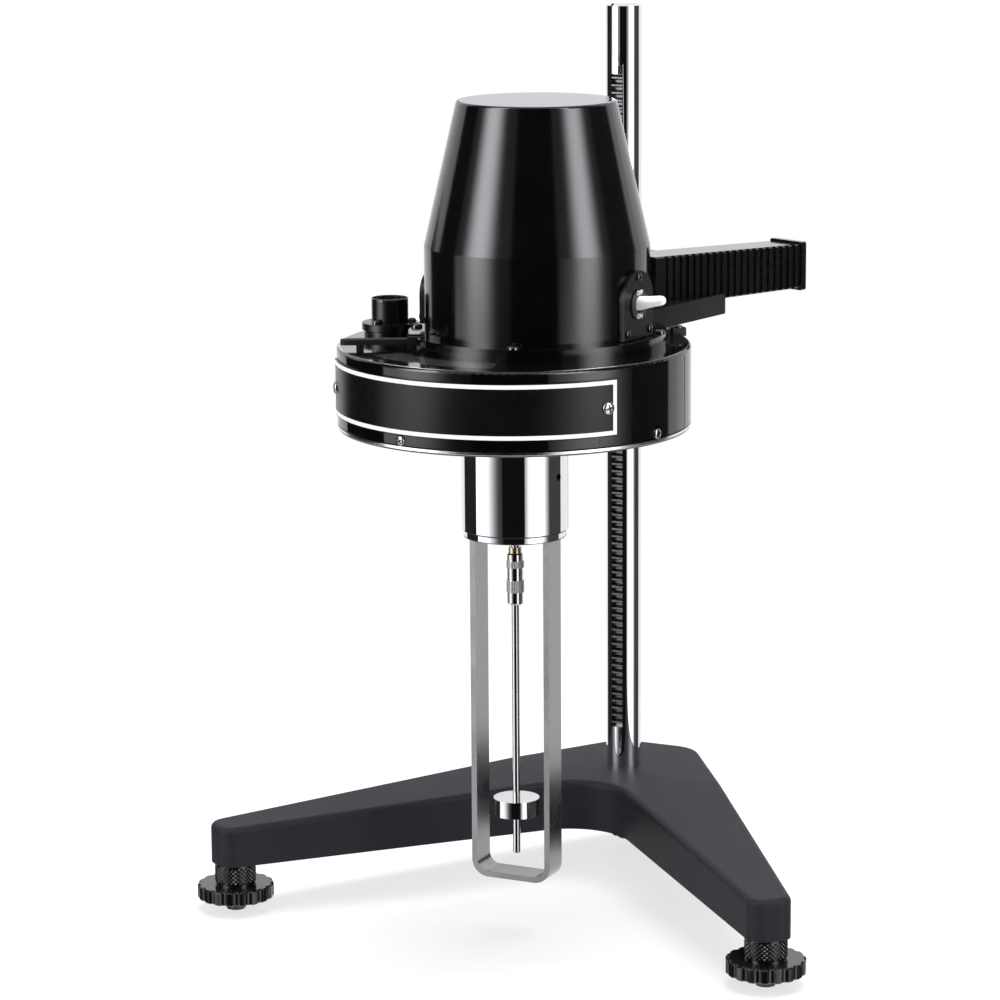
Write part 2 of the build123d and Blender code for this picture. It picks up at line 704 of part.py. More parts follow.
with BuildPart() as grip_end_plate:
    end_plane = Plane(grip_plane.origin + grip_plane.y_dir * grip_length,
                      x_dir=grip_plane.x_dir, z_dir=grip_plane.y_dir)
    with BuildSketch(end_plane):
        with Locations((grip_plate_overlap, grip_plate_overlap)):
            Rectangle(grip_end_width + 2 * grip_plate_overlap,
                      grip_end_height + 2 * grip_plate_overlap, align=(Align.MAX, Align.MAX))
    extrude(amount=grip_plate_thickness)
    fillet(grip_end_plate.edges().group_by(SortBy.LENGTH)[0], 1.0)
save(grip_end_plate.part, "grip_end_plate")

# ---------------------------------------------------------------- drum
side_screw_angles = [side_screw_angle + 90.0 * k for k in range(4)]
cover_screw_angles = [cover_screw_angle + 90.0 * k for k in range(4)]
cover_centre = (cover_x, cover_y)
cover_screw_points = [around(a, cover_screw_circle, cover_centre) for a in cover_screw_angles]
level_screw_angles = [20.0, 140.0, 260.0]
level_screw_points = [around(a, level_screw_circle, (level_x, level_y)) for a in level_screw_angles]
lever_pivot = (-30.0, -27.6)
lever_tip = (-54.0, -40.0)
lever_length = hypot(lever_tip[0] - lever_pivot[0], lever_tip[1] - lever_pivot[1])
lever_way = ((lever_tip[0] - lever_pivot[0]) / lever_length,
             (lever_tip[1] - lever_pivot[1]) / lever_length)
plunger_reach = 21.5
plunger_spot = (lever_pivot[0] + lever_way[0] * plunger_reach,
                lever_pivot[1] + lever_way[1] * plunger_reach)
plunger_radius = 1.5
top_bearing_radius = 7.0
pillar_angles = [60.0, 180.0, 300.0]
pillar_points = [around(a, pillar_circle, cover_centre) for a in pillar_angles]
floor_high_z = drum_low_z + floor_thickness
sleeve_screw_circle = 24.2
sleeve_screw_points = [around(a, sleeve_screw_circle) for a in (0.0, 120.0, 240.0)]
floor_radius = drum_radius - drum_wall


def fan(inset=0.0):
    """The window's outline about the rotor axis, or one that runs inside it by an inset."""
    inner = window_inner + inset
    outer = window_outer - inset
    edge = degrees(inset / (window_inner + window_outer) * 2)
    start = window_from + edge
    stop = window_to - edge
    sweep = stop - start
    with BuildSketch() as sector:
        with BuildLine():
            CenterArc((0, 0), outer, start - 90, sweep)
            CenterArc((0, 0), inner, start - 90, sweep)
            Line(around(start, inner), around(start, outer))
            Line(around(stop, inner), around(stop, outer))
        make_face()
        fillet(sector.vertices(), 2.0)
    return sector.sketch


with BuildPart() as drum_shell:
    with Locations((0, 0, drum_low_z)):
        Cylinder(drum_radius, drum_high_z - drum_low_z, align=(Align.CENTER, Align.CENTER, Align.MIN))
    fillet(drum_shell.edges().filter_by(GeomType.CIRCLE).sort_by(Axis.Z)[-1], 1.2)
    chamfer(drum_shell.edges().filter_by(GeomType.CIRCLE).sort_by(Axis.Z)[0], 0.6)
    with Locations((0, 0, drum_low_z)):
        Cylinder(floor_radius, drum_high_z - drum_roof - drum_low_z, mode=Mode.SUBTRACT,
                 align=(Align.CENTER, Align.CENTER, Align.MIN))
    with BuildSketch(Plane.XY.offset(drum_high_z)):
        add(fan())
    extrude(amount=-window_thickness, mode=Mode.SUBTRACT)
    with BuildSketch(Plane.XY.offset(drum_high_z)):
        add(fan(window_ledge))
    extrude(amount=-drum_roof, mode=Mode.SUBTRACT)
    with Locations((0, 0, drum_high_z)):
        Cylinder(top_bearing_radius, 2 * drum_roof, mode=Mode.SUBTRACT)
    with Locations(*[(x, y, drum_high_z) for x, y in cover_screw_points]):
        Cylinder(1.5 + drop_gap, 2 * drum_roof, mode=Mode.SUBTRACT)
    with Locations(*[(x, y, drum_high_z) for x, y in arm_drum_screws_at]):
        Cylinder(arm_screw_radius + drop_gap, 2 * drum_roof, mode=Mode.SUBTRACT)
    with Locations(*[(x, y, drum_high_z) for x, y in level_screw_points]):
        Cylinder(1.0 + drop_gap, 2 * drum_roof, mode=Mode.SUBTRACT)
    with Locations((*plunger_spot, drum_high_z)):
        Cylinder(plunger_radius + run_gap, 2 * drum_roof, mode=Mode.SUBTRACT)
    with Locations(*[outward_plane(a, drum_radius, side_screw_z) for a in side_screw_angles]):
        Cylinder(1.2 + drop_gap, 4 * drum_wall, mode=Mode.SUBTRACT)
    with Locations(*[outward_plane(s * plate_screw_angle, drum_radius, plate_screw_z)
                     for s in (-1, 1)]):
        Cylinder(1.2 + drop_gap, 4 * drum_wall, mode=Mode.SUBTRACT)
save(drum_shell.part, "drum_shell")

with BuildPart() as drum_floor:
    with BuildSketch(Plane.XY.offset(drum_low_z)):
        Circle(floor_radius)
        Circle(sleeve_radius - sleeve_shoulder, mode=Mode.SUBTRACT)
        with Locations(*sleeve_screw_points):
            Circle(1.2 + drop_gap, mode=Mode.SUBTRACT)
    extrude(amount=floor_thickness)
    with BuildSketch(Plane.XY.offset(floor_high_z)):
        Circle(floor_radius)
        Circle(floor_radius - 3.0, mode=Mode.SUBTRACT)
    extrude(amount=side_screw_z + 2.4 - floor_high_z)
    with Locations(*[outward_plane(a, floor_radius, side_screw_z) for a in side_screw_angles]):
        Cylinder(1.2 + drop_gap, 2 * drum_wall, mode=Mode.SUBTRACT)
save(drum_floor.part, "drum_floor")

with BuildPart() as drum_screws:
    with Locations(*[outward_plane(a, drum_radius, side_screw_z) for a in side_screw_angles]):
        add(screw(2.0, 1.0, 1.2, 5.6))

with BuildPart() as nameplate:
    with BuildSketch(Plane.XY.offset(plate_low_z)):
        with BuildLine():
            CenterArc((0, 0), drum_radius + plate_thickness, -90 - plate_half_angle,
                      2 * plate_half_angle)
            CenterArc((0, 0), drum_radius, -90 - plate_half_angle, 2 * plate_half_angle)
            for s in (-1, 1):
                Line(around(s * plate_half_angle, drum_radius),
                     around(s * plate_half_angle, drum_radius + plate_thickness))
        make_face()
    extrude(amount=plate_high_z - plate_low_z)
    with Locations(*[outward_plane(s * plate_screw_angle, drum_radius, plate_screw_z)
                     for s in (-1, 1)]):
        Cylinder(1.2 + drop_gap, 4 * plate_thickness, mode=Mode.SUBTRACT)
save(nameplate.part, "nameplate")

with BuildPart() as nameplate_screws:
    with Locations(*[outward_plane(s * plate_screw_angle, drum_radius + plate_thickness,
                                   plate_screw_z) for s in (-1, 1)]):
        add(screw(2.6, 1.2, 1.2, plate_thickness + drum_wall))
save(Compound(children=[drum_screws.part, nameplate_screws.part]), "drum_screws")

with BuildPart() as dial_window:
    with BuildSketch(Plane.XY.offset(drum_high_z)):
        add(fan())
    extrude(amount=-window_thickness)
save(dial_window.part, "dial_window")

# ---------------------------------------------------------------- motor cover
lever_low_z = 243.8
lever_thickness = 2.3
lever_width = 4.4
lever_pin_radius = 0.8
cheek_thickness = 1.4
cheek_length = 6.0
lever_pin_z = lever_low_z + lever_thickness / 2
lever_plane = Plane(origin=(*lever_pivot, 0), x_dir=(*lever_way, 0), z_dir=(0, 0, 1))
lever_pin_plane = Plane(origin=(*lever_pivot, lever_pin_z), x_dir=(*lever_way, 0),
                        z_dir=(-lever_way[1], lever_way[0], 0))
lever_tail = 3.0
cheek_offset = lever_width / 2 + 0.15
bracket_half = cheek_offset + cheek_thickness

flange_top_z = drum_high_z + flange_thickness
step_top_z = flange_top_z + flange_step
cover_axis = Axis((cover_x, cover_y, 0), (0, 0, 1))
side_plate_angle = 83.0
switch_pad = 1.6
switch_plate_width = 22.0
switch_plate_height = 26.5
switch_plate_thickness = 1.6
switch_low_z = 247.2
inlet_plate_width = 17.0
inlet_plate_height = 19.5
inlet_low_z = 248.6
speed_angle = -137.0
speed_z = 264.0
speed_plate_radius = 13.0


def arch(width, height):
    """A plate outline with a flat foot on the X axis and a round top."""
    with BuildSketch() as outline:
        Rectangle(width, height - width / 2, align=(Align.CENTER, Align.MIN))
        with Locations((0, height - width / 2)):
            Circle(width / 2)
    return outline.sketch


pad_distance = sqrt(cover_radius ** 2 - (switch_plate_width / 2) ** 2) + switch_pad
switch_face = outward_plane(side_plate_angle, pad_distance, switch_low_z, cover_centre)
inlet_face = outward_plane(-side_plate_angle, pad_distance, inlet_low_z, cover_centre)
speed_face = outward_plane(speed_angle, pad_distance, speed_z, cover_centre)
switch_centre = switch_plate_height / 2
inlet_centre = inlet_plate_height / 2
switch_hole_radius = 6.0
inlet_hole_radius = 5.0
speed_shaft_radius = 3.0

cover_plane = Plane(origin=(cover_x, cover_y, 0), x_dir=(1, 0, 0), z_dir=(0, -1, 0))
speed_hub_radius = 5.0

with BuildPart() as motor_cover:
    with BuildSketch(cover_plane):
        with BuildLine():
            Polyline((0, drum_high_z), (flange_radius, drum_high_z), (flange_radius, flange_top_z),
                     (flange_radius - flange_ledge, flange_top_z),
                     (flange_radius - flange_ledge, step_top_z),
                     (cover_radius, step_top_z), (cover_radius, cover_knee_z),
                     (cover_top_radius, cover_top_z), (0, cover_top_z), close=True)
        make_face()
    revolve(axis=cover_axis)
    fillet(motor_cover.edges().filter_by(GeomType.CIRCLE).sort_by(Axis.Z)[-1], cover_lip)
    for face, outline in ((switch_face, arch(switch_plate_width, switch_plate_height)),
                          (inlet_face, arch(inlet_plate_width, inlet_plate_height))):
        with BuildSketch(face):
            add(outline)
        extrude(amount=-cover_wall * 2)
    with BuildSketch(speed_face):
        Circle(speed_plate_radius)
    extrude(amount=-cover_wall * 2)
    with BuildSketch(cover_plane):
        with BuildLine():
            Polyline((0, drum_high_z), (cover_radius - cover_wall, drum_high_z),
                     (cover_radius - cover_wall, cover_knee_z - 0.4),
                     (cover_top_radius - cover_wall, cover_top_z - cover_wall),
                     (0, cover_top_z - cover_wall), close=True)
        make_face()
    revolve(axis=cover_axis, mode=Mode.SUBTRACT)
    with Locations(*[(x, y, drum_high_z) for x, y in cover_screw_points]):
        Cylinder(1.5 + drop_gap, 30, mode=Mode.SUBTRACT)
    with BuildSketch(lever_plane.offset(drum_high_z)):
        with Locations((-lever_tail - face_gap, 0)):
            Rectangle(lever_length, 2 * (bracket_half + face_gap), align=(Align.MIN, Align.CENTER))
    extrude(amount=2 * (step_top_z - drum_high_z), mode=Mode.SUBTRACT)
    with Locations(switch_face * Location((0, switch_centre, 0))):
        Cylinder(switch_hole_radius, 20, mode=Mode.SUBTRACT)
    with Locations(inlet_face * Location((0, inlet_centre, 0))):
        Cylinder(inlet_hole_radius, 20, mode=Mode.SUBTRACT)
    with Locations(speed_face):
        Cylinder(speed_hub_radius, 20, mode=Mode.SUBTRACT)
    for face, width, height in ((switch_face, switch_plate_width, switch_plate_height),
                                (inlet_face, inlet_plate_width, inlet_plate_height)):
        with Locations(face * Location((-width / 2 + 2.6, 2.6, 0)),
                       face * Location((width / 2 - 2.6, 2.6, 0)),
                       face * Location((0, height - 2.6, 0))):
            Cylinder(0.9 + drop_gap, 6, mode=Mode.SUBTRACT)
save(motor_cover.part, "motor_cover")

with BuildPart() as cover_screws:
    with Locations(*[(x, y, step_top_z) for x, y in cover_screw_points]):
        add(screw(2.3, 1.4, 1.5, step_top_z - drum_high_z + drum_roof))
save(cover_screws.part, "cover_screws")


def plate_screw_spots(face, width, height, depth):
    """The three places where an arched plate is screwed down, on its outer side."""
    return [face * Location((-width / 2 + 2.6, 2.6, depth)),
            face * Location((width / 2 - 2.6, 2.6, depth)),
            face * Location((0, height - 2.6, depth))]


for name, face, width, height, hole, centre in (
        ("switch_plate", switch_face, switch_plate_width, switch_plate_height,
         switch_hole_radius, switch_centre),
        ("inlet_plate", inlet_face, inlet_plate_width, inlet_plate_height,
         inlet_hole_radius, inlet_centre)):
    with BuildPart() as arched_plate:
        with BuildSketch(face):
            add(arch(width, height))
            with Locations((0, centre)):
                Circle(hole, mode=Mode.SUBTRACT)
        extrude(amount=switch_plate_thickness)
        with Locations(*plate_screw_spots(face, width, height, 0)):
            Cylinder(0.9 + drop_gap, 6, mode=Mode.SUBTRACT)
    save(arched_plate.part, name)

with BuildPart() as plate_screws:
    for face, width, height in ((switch_face, switch_plate_width, switch_plate_height),
                                (inlet_face, inlet_plate_width, inlet_plate_height)):
        with Locations(*plate_screw_spots(face, width, height, switch_plate_thickness)):
            add(screw(1.5, 0.9, 0.9, 3.6))
save(plate_screws.part, "plate_screws")

# ---------------------------------------------------------------- switch, inlet, speed knob
switch_bushing_proud = 0.5
toggle_ball_radius = 3.0
toggle_ball_depth = 1.0
toggle_radius = 1.9
trunnion_radius = 0.8
trunnion_proud = 0.8      # of the ball, at each end
toggle_reach = 12.6
toggle_tilt = 10.0        # up, at rest in the off position
switch_box_back = 15.0
box_clear = 2.9           # from the pad's face in to the flat back of the cover's wall

toggle_plane = Plane(switch_face * Location((0, switch_centre, 0)))
toggle_length = switch_plate_thickness + toggle_reach + toggle_ball_depth
trunnion_length = 2 * (toggle_ball_radius + trunnion_proud)
toggle_pivot = toggle_plane.offset(-toggle_ball_depth)
trunnion_axis = Plane(toggle_pivot.origin, x_dir=toggle_pivot.y_dir, z_dir=toggle_pivot.x_dir)

with BuildPart() as switch_body:
    with BuildSketch(toggle_plane.offset(-box_clear)):
        Rectangle(12.5, 14.0)
    extrude(amount=box_clear - switch_box_back)
    with BuildSketch(toggle_plane.offset(-box_clear)):
        Circle(switch_hole_radius - drop_gap)
    extrude(amount=box_clear + switch_plate_thickness + switch_bushing_proud)
    with BuildSketch(toggle_plane.offset(-toggle_ball_depth - toggle_ball_radius - 0.5)):
        Circle(toggle_ball_radius + run_gap)
    extrude(amount=box_clear * 3, mode=Mode.SUBTRACT)
    with Locations(trunnion_axis):
        Cylinder(trunnion_radius + run_gap, trunnion_length + face_gap, mode=Mode.SUBTRACT)
save(switch_body.part, "switch_body")

toggle_frame = Plane(toggle_pivot * Location((0, 0, 0), (-toggle_tilt, 0, 0)))
with BuildPart() as toggle_lever:
    with Locations(toggle_frame):
        Sphere(toggle_ball_radius)
        Cone(toggle_radius - 0.2, toggle_radius + 0.3, toggle_length - toggle_radius,
             align=(Align.CENTER, Align.CENTER, Align.MIN))
    with Locations(toggle_frame.offset(toggle_length - toggle_radius)):
        Sphere(toggle_radius + 0.3)
    with Locations(trunnion_axis):
        Cylinder(trunnion_radius, trunnion_length)
save(toggle_lever.part, "toggle_lever")

inlet_plane = Plane(inlet_face * Location((0, inlet_centre, 0)))
inlet_depth = 9.0
with BuildPart() as inlet_socket:
    with BuildSketch(inlet_plane.offset(-inlet_depth)):
        Circle(inlet_hole_radius - drop_gap)
    extrude(amount=inlet_depth + switch_plate_thickness)
    with BuildSketch(inlet_plane.offset(switch_plate_thickness)):
        Circle(inlet_hole_radius - 1.2)
        with Locations((-1.6, 0), (1.6, 0)):
            Circle(0.7, mode=Mode.SUBTRACT)
    extrude(amount=-6.0, mode=Mode.SUBTRACT)
save(inlet_socket.part, "inlet_socket")

speed_plate_thickness = 1.0
speed_knob_radius = 9.5
speed_knob_height = 11.0
with BuildPart() as speed_switch:
    with BuildSketch(speed_face.offset(-box_clear)):
        Circle(8.0)
    extrude(amount=-14.0)
    with BuildSketch(speed_face.offset(-box_clear)):
        Circle(speed_hub_radius - drop_gap)
    extrude(amount=box_clear + speed_plate_thickness)
    with BuildSketch(speed_face.offset(-box_clear - 6.0)):
        Circle(speed_shaft_radius + run_gap)
    extrude(amount=box_clear * 5, mode=Mode.SUBTRACT)
save(speed_switch.part, "speed_switch")

with BuildPart() as speed_plate:
    with BuildSketch(speed_face):
        Circle(speed_plate_radius)
        Circle(speed_hub_radius, mode=Mode.SUBTRACT)
    extrude(amount=speed_plate_thickness)
save(speed_plate.part, "speed_plate")

with BuildPart() as speed_knob:
    with BuildSketch(speed_face.offset(speed_plate_thickness + face_gap)):
        add(fluted(speed_knob_radius, 16, 0.6))
    extrude(amount=speed_knob_height)
    with BuildSketch(speed_face.offset(-box_clear - 5.5)):
        Circle(speed_shaft_radius)
    extrude(amount=box_clear + 5.5 + speed_plate_thickness + face_gap)
save(speed_knob.part, "speed_knob")

# ---------------------------------------------------------------- motor and its plate
pinion_pitch_radius = drive_module * motor_pinion_teeth / 2
gear_pitch_radius = drive_module * drive_teeth / 2
motor_bearing = atan2(cover_y, cover_x)
motor_spot = ((gear_pitch_radius + pinion_pitch_radius) * cos(motor_bearing),
              (gear_pitch_radius + pinion_pitch_radius) * sin(motor_bearing))
motor_shaft_radius = 1.5
motor_plate_top = motor_plate_z + motor_plate_thickness
drive_gear_top = drive_gear_z + drive_gear_width

with BuildPart() as motor_plate:
    with BuildSketch(Plane.XY.offset(motor_plate_z)):
        with Locations(cover_centre):
            Circle(motor_plate_radius)
        with Locations(motor_spot):
            Circle(5.0, mode=Mode.SUBTRACT)
        with Locations(*pillar_points):
            Circle(1.5 + drop_gap, mode=Mode.SUBTRACT)
    extrude(amount=motor_plate_thickness)
    for face, depth, width in ((toggle_plane, switch_box_back + 1, 16.0),
                               (inlet_plane, inlet_depth + 1, 2 * inlet_hole_radius + 2),
                               (speed_face, 20.0, 20.0)):
        with BuildSketch(face):
            Rectangle(width, 24.0)
        extrude(amount=-depth, mode=Mode.SUBTRACT)
save(motor_plate.part, "motor_plate")

with BuildPart() as pillars:
    with BuildSketch(Plane.XY.offset(drum_high_z)):
        with Locations(*pillar_points):
            Circle(pillar_radius)
            Circle(1.5, mode=Mode.SUBTRACT)
    extrude(amount=motor_plate_z - drum_high_z)
with BuildPart() as pillar_screws:
    with Locations(*[(x, y, motor_plate_top) for x, y in pillar_points]):
        add(screw(2.8, 1.8, 1.5, motor_plate_thickness + 6))
save(Compound(children=[pillars.part, pillar_screws.part]), "pillars")

with BuildPart() as motor:
    with Locations((*motor_spot, motor_plate_top)):
        Cylinder(motor_radius, motor_height, align=(Align.CENTER, Align.CENTER, Align.MIN))
    fillet(motor.edges().filter_by(GeomType.CIRCLE).sort_by(Axis.Z)[-1], 2.0)
    with Locations((*motor_spot, motor_plate_top)):
        Cylinder(motor_shaft_radius + run_gap, motor_height - 4, mode=Mode.SUBTRACT,
                 align=(Align.CENTER, Align.CENTER, Align.MIN))
save(motor.part, "motor")

with BuildPart() as motor_pinion:
    with Locations((*motor_spot, drive_gear_z - 1.0)):
        Cylinder(motor_shaft_radius, motor_plate_top + motor_height - 5 - drive_gear_z,
                 align=(Align.CENTER, Align.CENTER, Align.MIN))
    with BuildSketch(Plane(origin=(*motor_spot, drive_gear_z))):
        Polygon(*gear_points(drive_module, motor_pinion_teeth, degrees(motor_bearing) + 180),
                align=None)
    extrude(amount=drive_gear_width)
save(motor_pinion.part, "motor_pinion")

# ---------------------------------------------------------------- dial drive
with BuildPart() as drive_gear:
    with BuildSketch(Plane.XY.offset(drive_gear_z)):
        half_tooth = 180 / drive_teeth
        Polygon(*gear_points(drive_module, drive_teeth, degrees(motor_bearing) + half_tooth),
                align=None)
        Circle(drive_tube_radius, mode=Mode.SUBTRACT)
        with PolarLocations(gear_pitch_radius * 0.6, 5):
            Circle(2.6, mode=Mode.SUBTRACT)
    extrude(amount=drive_gear_width)
    with BuildSketch(Plane.XY.offset(drive_gear_top)):
        Circle(drive_tube_radius + 2.5)
        Circle(drive_tube_radius, mode=Mode.SUBTRACT)
    extrude(amount=3.0)
save(drive_gear.part, "drive_gear")

with BuildPart() as top_bearing:
    with BuildSketch(Plane.XY.offset(drum_high_z - drum_roof)):
        Circle(top_bearing_radius)
    extrude(amount=drum_roof)
    with BuildSketch(Plane.XY.offset(drum_high_z)):
        Circle(top_bearing_radius + 3.0)
    extrude(amount=2.5)
    with Locations((0, 0, drum_high_z)):
        Cylinder(drive_tube_radius + run_gap, 4 * drum_roof, mode=Mode.SUBTRACT)
save(top_bearing.part, "top_bearing")

with BuildPart() as drive_tube:
    with BuildSketch(Plane.XY.offset(drive_tube_low_z)):
        Circle(drive_tube_radius)
        Circle(drive_tube_bore, mode=Mode.SUBTRACT)
    extrude(amount=drive_tube_high_z - drive_tube_low_z)
save(drive_tube.part, "drive_tube")

dial_top_z = dial_z + dial_thickness
stud_reach = 16.0
with BuildPart() as dial:
    with BuildSketch(Plane.XY.offset(dial_z)):
        Circle(dial_radius)
        Circle(drive_tube_radius, mode=Mode.SUBTRACT)
    extrude(amount=dial_thickness)
    with BuildSketch(Plane.XY.offset(dial_top_z)):
        Circle(drive_tube_radius + 3.0)
        Circle(drive_tube_radius, mode=Mode.SUBTRACT)
    extrude(amount=2.4)
    with Locations((stud_reach, 0, dial_z)):
        Cylinder(0.8, 3.4, align=(Align.CENTER, Align.CENTER, Align.MAX))
save(dial.part, "dial")

with BuildPart() as pivot_bearing:
    with BuildSketch(Plane.XY.offset(drive_tube_high_z - 7.0)):
        Circle(drive_tube_bore)
        Circle(pivot_radius + run_gap, mode=Mode.SUBTRACT)
    extrude(amount=7.0)
save(pivot_bearing.part, "pivot_bearing")

# ---------------------------------------------------------------- pivot shaft, pointer, spring
coupling_bore_depth = 10.0
pivot_low_z = coupling_high_z - coupling_bore_depth
pivot_high_z = drive_tube_high_z - 1.5
pointer_angle = -10.0
pointer_hub_top = 229.5
pointer_top_z = pointer_z + pointer_thickness
riser_inner = 57.7
riser_outer = 58.9
needle_top_z = 236.6

with BuildPart() as pivot_shaft:
    with BuildSketch(Plane.XY.offset(pivot_low_z)):
        Circle(pivot_radius)
    extrude(amount=pivot_high_z - pivot_low_z)
save(pivot_shaft.part, "pivot_shaft")

needle_turn = pointer_angle - 90.0
with BuildPart() as pointer:
    with BuildSketch(Plane.XY.offset(pointer_z)):
        Circle(pointer_rim_outer)
        Circle(riser_inner, mode=Mode.SUBTRACT)
        with PolarLocations(0, 3, needle_turn):
            Rectangle(riser_inner + 1.0, 3.0, align=(Align.MIN, Align.CENTER))
        Circle(5.0)
        Circle(pivot_radius, mode=Mode.SUBTRACT)
    extrude(amount=pointer_thickness)
    with BuildSketch(Plane.XY.offset(pointer_top_z)):
        Circle(5.0)
        Circle(pivot_radius, mode=Mode.SUBTRACT)
    extrude(amount=pointer_hub_top - pointer_top_z)
    with BuildSketch(Plane.XY.offset(pointer_top_z)):
        with PolarLocations(riser_inner, 1, needle_turn):
            Rectangle(riser_outer - riser_inner, 2.4, align=(Align.MIN, Align.CENTER))
    extrude(amount=needle_top_z - pointer_top_z)
    with BuildSketch(Plane.XY.offset(needle_top_z)):
        with PolarLocations(riser_inner, 1, needle_turn):
            Polygon((0.0, -1.2), (0.0, 1.2), (-7.5, 0.2), (-7.5, -0.2), align=None)
    extrude(amount=-0.8)
save(pointer.part, "pointer")


def spiral_points(start_radius, turns, pitch, offset_by, steps=18):
    """Points along a flat spiral, moved outwards by an offset."""
    points = []
    for step in range(int(turns * steps) + 1):
        angle = 2 * pi * step / steps
        r = start_radius + pitch * step / steps + offset_by
        points.append((r * cos(angle), r * sin(angle)))
    return points


spring_ribbon = 0.5
spring_start = 3.6
collet_radius = 3.2
with BuildPart() as hairspring:
    with BuildSketch(Plane.XY.offset(pointer_hub_top)):
        Circle(collet_radius)
        Circle(pivot_radius, mode=Mode.SUBTRACT)
    extrude(amount=1.1)
    with BuildSketch(Plane.XY.offset(pointer_hub_top + 0.1)):
        outer_side = spiral_points(spring_start - 0.3, hairspring_turns, hairspring_pitch,
                                   spring_ribbon / 2)
        inner_side = spiral_points(spring_start - 0.3, hairspring_turns, hairspring_pitch,
                                   -spring_ribbon / 2)
        with BuildLine():
            Polyline(*outer_side, *reversed(inner_side), close=True)
        make_face()
        Circle(pivot_radius, mode=Mode.SUBTRACT)
    extrude(amount=0.9)
save(hairspring.part, "hairspring")

# ---------------------------------------------------------------- coupling and rotor
with BuildPart() as coupling:
    with BuildSketch(Plane.XY.offset(coupling_low_z)):
        Circle(coupling_radius)
    extrude(amount=coupling_high_z - coupling_low_z)
    chamfer(coupling.edges().group_by(Axis.Z)[0] + coupling.edges().group_by(Axis.Z)[-1], 0.5)
    for low_z, high_z in (knurl_low, knurl_high):
        with BuildSketch(Plane.XY.offset(low_z)):
            add(fluted(coupling_radius + knurl_ridge, 24, 0.25))
        extrude(amount=high_z - low_z)
    with Locations((0, 0, coupling_high_z)):
        Cylinder(pivot_radius, coupling_bore_depth, mode=Mode.SUBTRACT,
                 align=(Align.CENTER, Align.CENTER, Align.MAX))
    with Locations((0, 0, coupling_low_z)):
        Cylinder(rotor_shaft_radius, coupling_bore_depth, mode=Mode.SUBTRACT,
                 align=(Align.CENTER, Align.CENTER, Align.MIN))
save(coupling.part, "coupling")

with BuildPart() as coupling_bush:
    with BuildSketch(Plane.XY.offset(coupling_high_z)):
        Circle(coupling_bush_radius)
        Circle(pivot_radius, mode=Mode.SUBTRACT)
    extrude(amount=bush_high_z - coupling_high_z)
save(coupling_bush.part, "coupling_bush")

with BuildPart() as rotor:
    with BuildSketch(Plane.XY.offset(rotor_low_z)):
        Circle(rotor_shaft_radius)
    extrude(amount=coupling_low_z + coupling_bore_depth - rotor_low_z)
    fillet(rotor.edges().sort_by(Axis.Z)[0], 0.6)
    with BuildSketch(Plane.XY.offset(rotor_disc_low_z)):
        Circle(rotor_disc_radius)
    extrude(amount=rotor_disc_height)
save(rotor.part, "rotor")

# ---------------------------------------------------------------- sleeve and guard
sleeve_bore = sleeve_radius - sleeve_wall
ring_low_z = sleeve_low_z - ring_height
spigot_top_z = sleeve_low_z + guard_insert
bar_outer = guard_centres / 2 + guard_thickness / 2
bar_inner = guard_centres / 2 - guard_thickness / 2
sleeve_flange_radius = 27.0
sleeve_flange_thickness = 2.0

with BuildPart() as sleeve:
    with BuildSketch(Plane.XY.offset(sleeve_low_z)):
        Circle(sleeve_radius)
    extrude(amount=drum_low_z - sleeve_low_z)
    with BuildSketch(Plane.XY.offset(drum_low_z)):
        Circle(sleeve_radius - sleeve_shoulder)
    extrude(amount=floor_thickness)
    with BuildSketch(Plane.XY.offset(floor_high_z)):
        Circle(sleeve_flange_radius)
        with Locations(*sleeve_screw_points):
            Circle(1.2 + drop_gap, mode=Mode.SUBTRACT)
    extrude(amount=sleeve_flange_thickness)
    with Locations((0, 0, sleeve_low_z)):
        Cylinder(sleeve_bore, 60, mode=Mode.SUBTRACT,
                 align=(Align.CENTER, Align.CENTER, Align.MIN))
    with Locations(outward_plane(locating_hole_angle, sleeve_radius, locating_hole_z)):
        Cylinder(locating_hole_radius, 3 * sleeve_wall, mode=Mode.SUBTRACT)
save(sleeve.part, "sleeve")

with BuildPart() as sleeve_screws:
    with Locations(*[(x, y, floor_high_z + sleeve_flange_thickness)
                     for x, y in sleeve_screw_points]):
        add(screw(2.2, 1.4, 1.2, sleeve_flange_thickness + floor_thickness - 0.4))
save(sleeve_screws.part, "sleeve_screws")

with BuildPart() as guard_ring:
    with BuildSketch(Plane.XY.offset(ring_low_z)):
        Circle(ring_radius)
    extrude(amount=ring_height)
    with BuildSketch(Plane.XY.offset(sleeve_low_z)):
        Circle(sleeve_bore - drop_gap)
    extrude(amount=guard_insert)
    with BuildSketch(Plane.XY.offset(ring_low_z)):
        Circle(bar_inner - 0.4)
        Rectangle(2 * bar_outer, guard_width)
    extrude(amount=spigot_top_z - ring_low_z, mode=Mode.SUBTRACT)
save(guard_ring.part, "guard_ring")

with BuildPart() as rotor_guard:
    with BuildSketch(Plane.XZ) as guard_outline:
        with Locations((0, guard_low_z)):
            Rectangle(2 * bar_outer, spigot_top_z - guard_low_z, align=(Align.CENTER, Align.MIN))
        fillet(guard_outline.vertices().group_by(Axis.Y)[0], guard_bend_radius)
        with BuildSketch(Plane.XY, mode=Mode.PRIVATE) as guard_hollow:
            with Locations((0, guard_low_z + guard_thickness)):
                Rectangle(2 * bar_inner, spigot_top_z, align=(Align.CENTER, Align.MIN))
            fillet(guard_hollow.vertices().group_by(Axis.Y)[0], guard_bend_radius - guard_thickness)
        add(guard_hollow.sketch, mode=Mode.SUBTRACT)
    extrude(amount=guard_width / 2, both=True)
save(rotor_guard.part, "rotor_guard")

